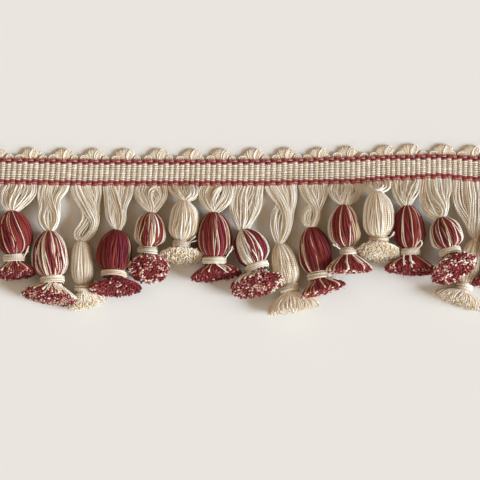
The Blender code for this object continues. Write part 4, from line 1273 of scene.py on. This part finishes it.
class Brush:
    """Frame of a brush along its length: middle, half width and half height as vectors."""

    def __init__(self, tassel):
        along, across = plan_direction(tassel.waist, tassel.tip)
        self.half_width = tassel.brush_width / 2 * tassel.spread
        self.half_depth = tassel.brush_depth / 2
        tilt, roll = math.radians(tassel.tilt), math.radians(tassel.roll)
        start = Vector((*tassel.waist, tassel.level)) + along * (BINDING_HALF_WIDTH + PIECE_GAP)
        rim = Vector((*tassel.tip, tassel.brush_lift + self.half_depth * math.cos(tilt)))
        rim -= along * (self.half_depth * math.sin(tilt) + tassel.dome * math.cos(tilt))
        rim = start.lerp(rim, tassel.reach)
        self.facing = along * math.cos(tilt) + UPWARDS * math.sin(tilt)
        self.length = (rim - start).length
        self.places = np.linspace(BRUSH_PROFILE[0][0], 1.0, 30)
        profile = smooth_rows(BRUSH_PROFILE, 60).T
        frames = []
        for place in self.places:
            growth = max(np.interp(place, profile[0], profile[1]), 0.0) ** tassel.flare
            swing = np.interp(place, profile[0], profile[2])
            turn = Quaternion(self.facing, roll * swing)
            lean = turn @ (Quaternion(across, -tilt * swing) @ UPWARDS)
            side = turn @ across
            centre = start.lerp(rim, place) if place > 0 else start + along * (place * self.length)
            wide = tassel.waist_half + (self.half_width - tassel.waist_half) * growth
            high = tassel.waist_rise + (self.half_depth - tassel.waist_rise) * growth
            frames.append((*centre, *(side * wide), *(lean * high)))
        self.frames = np.array(frames)

    def stems(self, start, end, share, angle, reach, t):
        """Lines of stems at the given shares and angles, with a point at each t on the way."""
        place = start[:, None] + (end - start)[:, None] * t
        frame = np.stack(
            [np.interp(place, self.places, column) for column in self.frames.T], -1)
        lines = (
            frame[..., :3]
            + frame[..., 3:6] * (share * np.cos(angle))[:, None, None]
            + frame[..., 6:9] * (share * np.sin(angle))[:, None, None]
        )
        lines += (reach[:, None] * ease((t - 0.45) / 0.55))[..., None] * np.array(self.facing)
        return lines


def tipped_with_highlight(rng, tints, tips, steps, most=0.40):
    """Tints along stems that keep to their last point, where cooler tips show, brighter partly with the
    paler look of cut fibres and partly with a painted highlight.
    """
    tips = tips.copy()
    # Painted highlight: each tip is made brighter by a random amount.
    tips[:, 1] += rng.uniform(0.0, most, len(tips))
    tips[:, 2] += 0.05
    along = np.repeat(tints[:, None], steps, axis=1)
    along[:, -1] = np.clip(tips, 0.0, 1.0)
    return along


def curl(rng, lines, growth, amount):
    """Give strands a loose wave of their own, growing towards their cut ends."""
    count = len(lines)
    phase = rng.uniform(0.0, TURN, (2, count, 1))
    pace = rng.uniform(1.5, 4.0, (count, 1))
    for axis in range(2):
        lines[..., axis] += amount * np.sin(np.pi * pace * growth + phase[axis]) * growth


def mottle(rng, x, y):
    """Slow random field over the cut face, about even from -1 to 1."""
    field = np.zeros_like(x)
    for _ in range(5):
        pace = rng.uniform(0.5, 1.5)
        way = rng.uniform(0.0, TURN)
        field += np.sin(pace * (x * math.cos(way) + y * math.sin(way)) + rng.uniform(0.0, 6.3))
    return field / 3.0


def lay_stems(skein, rng, tassel, brush):
    """Three layers of long stems round the outside of a brush."""
    count, steps = tassel.stems, 9
    growth = np.linspace(0.0, 1.0, steps)
    for layer, share in enumerate((0.99, 0.91, 0.82)):
        shortest = 1.0 - (1.0 - tassel.shortest) * (1.0 - 0.3 * layer)
        angle = TURN * (np.arange(count) + 0.33 * layer) / count
        angle += rng.normal(0.0, 0.035, count)
        end = shortest + (1.0 - shortest) * rng.random(count) ** 0.5
        letters, _ = tassel.tints_at(angle)
        if not tassel.is_cream:
            dyed = pale_ones(letters) & (rng.random(count) > tassel.cream + 0.25)
            letters = np.where(dyed, "r", letters)
            letters = np.where(rng.random(count) < 0.75 * tassel.cream, "c", letters)
        tints = tints_of(letters)
        tints[:, 1] += tassel.light + (0.25 if tassel.is_cream else 0.12)
        tints = jitter(rng, tints, 0.12, 0.18)
        reach = np.where(end > 0.93, rng.uniform(0.0, 0.4, count), 0.0)
        share = share * rng.uniform(0.97, 1.02, count)
        lines = brush.stems(np.full(count, BRUSH_START), end, share, angle, reach, growth)
        lines += wander(rng, count, steps, 0.10 + 0.5 * tassel.curl)[..., None] * np.array(SIDEWAYS)
        lines[..., :2] += rng.normal(0.0, 0.12 + tassel.curl, (count, 1, 2)) * (growth ** 2)[:, None]
        curl(rng, lines, growth, tassel.curl)
        thick = tassel.thick * np.interp(growth, (0.0, 0.3, 0.8, 1.0), (0.62, 0.86, 0.96, 1.0))
        thick = thick * rng.uniform(0.85, 1.1, (count, 1))
        if not tassel.is_cream:
            thick[:, -2:] *= np.where(pale_ones(letters), 1.22, 1.05)[:, None]
        skein.lay(lines, thick, tipped_with_highlight(rng, tints, tints, steps), LOW_STEM)


def pick(draw, *shares):
    """Letter for each draw from 0 to 1: shares are pairs of a letter and where it ends."""
    letters, ends = zip(*shares)
    return np.array(letters)[np.searchsorted(ends, draw, side="right")]


def cut_end_letters(rng, tassel, x, y):
    """Letters of the cut ends over the face: pale ones gather in clumps."""
    draw = rng.random(len(x))
    if tassel.is_cream:
        return pick(draw, ("o", 0.30), ("b", 0.65), ("c", 1.0))
    score = 1.3 * mottle(rng, x, y) + rng.uniform(-1.0, 1.0, len(x))
    pale = score > np.quantile(score, 1.0 - min(tassel.cream, 0.99))
    light = pick(draw, ("p", 0.28), ("o", 0.40), ("b", 0.72), ("c", 1.0))
    dark = pick(draw, ("m", 0.18), ("r", 0.64), ("p", 0.72), ("w", 1.0))
    return np.where(pale, light, dark)


def lay_cut_ends(skein, rng, tassel, brush):
    """Crowd of cut ends over the face of a brush: wine strands show their tint as round dots."""
    is_cream = tassel.is_cream
    spacing = bpy.context.scene.fringe_yarns.cut_end_spacing / MM * min(tassel.thick, 1.05)
    count = int(math.pi * brush.half_width * brush.half_depth / spacing ** 2)
    turn = np.arange(count) + 0.5
    share = np.sqrt(turn / count) * rng.uniform(0.96, 1.03, count)
    angle = turn * math.pi * (3.0 - math.sqrt(5.0)) + rng.normal(0.0, 0.03, count)
    x = share * np.cos(angle) * brush.half_width
    y = share * np.sin(angle) * brush.half_depth
    tips = tints_of(cut_end_letters(rng, tassel, x, y))
    tips[:, 1] += 0.5 * tassel.light
    if is_cream:
        tips += (0.0, 0.30, -0.10)
    strands = tips = jitter(rng, tips, 0.15, 0.20)
    if not is_cream:
        strands = tints_of(np.where(rng.random(count) < 0.5, "r", "m")) + (0.0, 0.12, 0.0)
        strands = jitter(rng, strands, 0.24, 0.20)
    dome = np.sqrt(np.clip(1.0 - share ** 2, 0.0, 1.0))
    reach = tassel.dome * dome + rng.normal(0.05, 0.22, count)
    reach += np.where(share > 0.90, rng.uniform(0.0, 0.25, count), 0.0)
    growth = np.array((0.0, 0.35, 0.62, 0.84, 1.0) if is_cream else (0.0, 0.5, 0.84, 1.0))
    start = np.full(count, 1.0 - CUT_END_LENGTH / brush.length)
    lines = brush.stems(start, np.ones(count), np.minimum(share, 1.02), angle, reach, growth)
    lines[..., :2] += rng.normal(0.0, 0.06 + tassel.curl, (count, 1, 2)) * growth[:, None]
    curl(rng, lines, growth, 1.2 * tassel.curl)
    thick = np.interp(growth, (0.0, 0.6, 1.0), (0.9, 1.05, 1.10)) * tassel.thick
    tints = tipped_with_highlight(rng, strands, tips, len(growth), 0.20)
    skein.lay(lines, thick * rng.uniform(0.85, 1.15, (count, 1)), tints, LOW_STEM)


def lay_heart(skein, tassel, brush):
    """Solid heart that closes the brush between its stems."""
    place = np.linspace(BRUSH_START, HEART_END, 9)
    middle = np.zeros(1)
    heart = brush.stems(
        place[:1], place[-1:], middle, middle, middle, np.linspace(0.0, 1.0, len(place)))
    wide, high = (
        np.interp(place, brush.places, np.linalg.norm(brush.frames[:, part], axis=1))
        for part in (slice(3, 6), slice(6, 9)))
    yarn = bpy.context.scene.fringe_yarns.brush_yarn / MM
    slimmed = 1.0 - 0.38 * ease(place / HEART_END)
    radius = np.maximum(np.minimum(wide, high) - HEART_COVER, 0.3) * slimmed
    # The heart is darker than the stems: painted shade.
    skein.lay(heart, radius * 2 / yarn, SHADED_CORE_TINTS[tassel.colour])


def lay_fluff(skein, rng, tassel, brush):
    """Fine loose fibres that soften the rim of a brush."""
    count = round(FLUFF_FIBRES * tassel.fluff)
    angle = rng.uniform(0.0, TURN, count)
    share = rng.uniform(0.70, 1.02, count)
    growth = np.linspace(0.0, 1.0, 5)
    start = rng.uniform(0.70, 0.90, count)
    lines = brush.stems(start, np.ones(count), share, angle, rng.uniform(0.2, 1.0, count), growth)
    lines[..., :2] += rng.normal(0.0, 0.50, (count, 1, 2)) * (growth ** 1.5)[:, None]
    lines += rng.normal(0.0, 0.14, lines.shape) * growth[:, None]
    tints = jitter(rng, tassel.tints_at(angle)[1] + (0.0, 0.15, 0.1), 0.12, 0.15)[:, None]
    skein.lay(lines, 0.30 * rng.uniform(0.7, 1.2, (count, 1)), tints, LOW_FLUFF)


def lay_brush(skein, rng, tassel):
    """Cut brush: heart, long stems, a crowd of cut ends, and fluff at its rim."""
    brush = Brush(tassel)
    lay_heart(skein, tassel, brush)
    lay_stems(skein, rng, tassel, brush)
    lay_cut_ends(skein, rng, tassel, brush)
    lay_fluff(skein, rng, tassel, brush)


def lay_binding(skein, rng, tassel):
    """Turns of thread round a waist, in two layers, and its free threads."""
    waist = np.array((*tassel.waist, tassel.level))
    tint = (0.0, 0.64 + 0.14 * tassel.tone, 0.55 + 0.25 * tassel.tone)
    for layer, (grown, turns, half) in enumerate((
        (PIECE_GAP + 0.28, tassel.turns, BINDING_HALF_WIDTH - 0.05),
        (PIECE_GAP + 0.72, tassel.turns - 1, BINDING_HALF_WIDTH - 0.45),
    )):
        steps = 26 * turns
        t = np.linspace(0.0, 1.0, steps)
        angle = TURN * turns * t + 0.4 * layer
        shift = half * (2.0 * t - 1.0) * (1 - 2 * layer)
        shift += 0.10 * np.sin(angle * 0.37 + tassel.index) + 0.05 * np.sin(angle * 1.7 + layer)
        shift -= tassel.arch * np.clip(np.sin(angle), 0.0, 1.0)
        crown = 0.30 * (1.0 - (2.0 * t - 1.0) ** 2)
        wide = tassel.waist_half + grown + crown * 0.5
        high = tassel.waist_rise + grown + crown * 0.5
        centre = waist + shift[:, None] * np.array(tassel.along)
        line = ring_points(centre, tassel.across, wide, high, angle)
        tints = np.tile(np.array(tint), (steps, 1))
        lap = np.floor(turns * t).astype(int)
        tints[:, 1] += rng.normal(0.0, 0.20, turns + 1)[lap]
        tints[:, 2] += rng.normal(0.0, 0.28, turns + 1)[lap]
        skein.lay(line, 1.0, np.clip(tints, 0.0, 1.0), LOW_THREAD)
    steps = 14
    fray = ease((np.linspace(0.0, 1.0, steps) - 0.45) / 0.55)[:, None]
    for index, course in FREE_THREADS:
        for _ in range(FRAYED_PLIES if index == tassel.index else 0):
            ply = smooth_rows(course, steps)
            ply = ply + rng.normal(0.0, 0.08, 3) + fray * rng.normal(0.0, 0.45, 3)
            skein.lay(ply, 0.75, jitter(rng, THREAD_TINT, 0.10, 0.15))


def dress_piece(piece, node):
    """Carry a finished piece on the body and hide the solid that it replaces."""
    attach(piece, "root")
    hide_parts(node)
    return piece


def make_strands(name, lay, kind, yarn, material, node, tassel=None):
    """Lay one skein with its own seed, sweep it, and put it in place of its solid."""
    yarns = bpy.context.scene.fringe_yarns
    seed = yarns.seed * 100 + SEEDS[kind] + (tassel.index if tassel else 0)
    skein, rng = Skein(), np.random.default_rng(seed)
    if tassel:
        lay(skein, rng, tassel)
        name, node = (f"{word}_{tassel.index:02d}" for word in (name, node))
    else:
        lay(skein, rng)
    return dress_piece(sweep(name, skein, getattr(yarns, yarn), material), node)


class FRINGE_OT_heading(bpy.types.Operator):
    """Weave the ribbed heading and its two wine borders"""

    bl_idname = "fringe.heading"
    bl_label = "Heading"

    def execute(self, context):
        material = yarn_material("heading floats", 0.14, 0.22, 0.10)
        floats = make_strands(
            "heading_floats", lay_floats, "heading", "float_yarn", material, "heading")
        band = make_band("heading_band", weave_material("heading ground"))
        dress_piece(band, "heading")
        return {"FINISHED"}


class FRINGE_OT_picots(bpy.types.Operator):
    """Loop the picots along the upper edge"""

    bl_idname = "fringe.picots"
    bl_label = "Picots"

    def execute(self, context):
        material = yarn_material("picot yarn", 0.50)
        make_strands("picot_loops", lay_picots, "picots", "picot_yarn", material, "picots")
        return {"FINISHED"}


class FRINGE_OT_skirts(bpy.types.Operator):
    """Hang the hanks of the skirts from the heading to the necks"""

    bl_idname = "fringe.skirts"
    bl_label = "Skirts"

    def execute(self, context):
        material = yarn_material("skirt yarn", 0.80)
        for tassel in TASSELS:
            make_strands(
                "skirt_yarns", lay_skirt, "skirt", "skirt_yarn", material, "skirt", tassel)
        return {"FINISHED"}


class FRINGE_OT_tassels(bpy.types.Operator):
    """Wrap the onions and fan out their cut brushes"""

    bl_idname = "fringe.tassels"
    bl_label = "Tassels"

    def execute(self, context):
        for tassel in TASSELS:
            fuzz = 0.18 if tassel.is_cream else 0.04
            material = yarn_material(tassel.colour + " yarn", 0.66, 0.18, fuzz)
            make_strands(
                "onion_yarns", lay_onion, "onion", "onion_yarn", material, "tassel", tassel)
            make_strands("brush", lay_brush, "brush", "brush_yarn", material, "tassel", tassel)
        return {"FINISHED"}


class FRINGE_OT_bindings(bpy.types.Operator):
    """Bind the waists with thread"""

    bl_idname = "fringe.bindings"
    bl_label = "Bindings"

    def execute(self, context):
        material = yarn_material("binding thread", 0.16, 0.40, 0.12)
        for tassel in TASSELS:
            make_strands(
                "binding_turns", lay_binding, "binding", "binding_thread", material,
                "binding", tassel)
        return {"FINISHED"}


class FRINGE_OT_stage(bpy.types.Operator):
    """Set the floor, the soft lights and the camera"""

    bl_idname = "fringe.stage"
    bl_label = "Stage"

    def execute(self, context):
        scene, stage = context.scene, context.scene.fringe_stage
        make_floor(stage)
        for row in LIGHTS:
            light = bpy.data.lights.new(row.name, "SUN")
            light.angle = stage.softness
            light.energy = row.strength * stage.light_strength
            light.color = row.colour
            around, above = math.radians(row.around), math.radians(row.above)
            place = Vector((
                math.cos(above) * math.cos(around), math.cos(above) * math.sin(around),
                math.sin(above)))
            aim_object(row.name, light, place, Vector((0.0, 0.0, 0.0)))
        scene.world = bpy.data.worlds.new("fill")
        scene.world.use_nodes = True
        background = scene.world.node_tree.nodes["Background"]
        background.inputs["Color"].default_value = (*stage.fill_colour, 1.0)
        background.inputs["Strength"].default_value = stage.fill_strength
        camera = bpy.data.cameras.new("camera")
        camera.sensor_width = 36.0
        camera.lens = camera.sensor_width * stage.camera_height / stage.view_width
        camera.clip_end = 20.0
        place = VIEW_CENTRE + UPWARDS * stage.camera_height
        scene.camera = aim_object("camera", camera, place, VIEW_CENTRE)
        scene.view_settings.view_transform = "Standard"
        return {"FINISHED"}


def aim_object(name, data, place, target):
    """Light or camera at a place, looking at its target."""
    obj = add_object(name, data)
    obj.location = place
    obj.rotation_euler = (target - place).to_track_quat("-Z", "Y").to_euler()
    return obj


def make_floor(stage):
    """Wide matt floor just under the length, with a faint paper grain."""
    bm = bmesh.new()
    bmesh.ops.create_grid(bm, x_segments=8, y_segments=8, size=FLOOR_HALF)
    mesh = bpy.data.meshes.new("floor")
    bm.to_mesh(mesh)
    bm.free()
    floor = add_object("floor", mesh)
    floor.location.z = -FLOOR_DROP
    material, wiring, shader = new_material("floor")
    tone = Vector(stage.floor_colour)
    dark, light = (tone * gain for gain in FLOOR_GRAIN)
    wiring.feed(shader, {
        "Base Color": wiring.mix(wiring.noise(900.0), dark, light),
        "Roughness": 0.9,
        "Specular IOR Level": 0.1,
    })
    mesh.materials.append(material)


OPERATORS = (
    FRINGE_OT_heading, FRINGE_OT_picots, FRINGE_OT_skirts, FRINGE_OT_tassels, FRINGE_OT_bindings,
    FRINGE_OT_stage)


class FRINGE_PT_panel(bpy.types.Panel):
    """Sizes, colours and makers of the fringe"""

    bl_idname = "FRINGE_PT_panel"
    bl_label = "Onion Tassel Fringe"
    bl_space_type = "VIEW_3D"
    bl_region_type = "UI"
    bl_category = "Fringe"

    def draw(self, context):
        layout, scene = self.layout, context.scene
        for settings in (scene.fringe_yarns, scene.fringe_colours, scene.fringe_stage):
            box = layout.box()
            for name in settings.__annotations__:
                box.prop(settings, name)
        for operator in OPERATORS:
            layout.operator(operator.bl_idname)


CLASSES = (FringeYarns, FringeColours, FringeStage, *OPERATORS, FRINGE_PT_panel)


def register():
    for cls in CLASSES:
        bpy.utils.register_class(cls)
    bpy.types.Scene.fringe_yarns = PointerProperty(type=FringeYarns)
    bpy.types.Scene.fringe_colours = PointerProperty(type=FringeColours)
    bpy.types.Scene.fringe_stage = PointerProperty(type=FringeStage)


def unregister():
    del bpy.types.Scene.fringe_stage
    del bpy.types.Scene.fringe_colours
    del bpy.types.Scene.fringe_yarns
    for cls in reversed(CLASSES):
        bpy.utils.unregister_class(cls)


def main():
    register()
    bpy.ops.fringe.heading()
    bpy.ops.fringe.picots()
    bpy.ops.fringe.skirts()
    bpy.ops.fringe.tassels()
    bpy.ops.fringe.bindings()
    bpy.ops.fringe.stage()


if __name__ == "__main__":
    main()
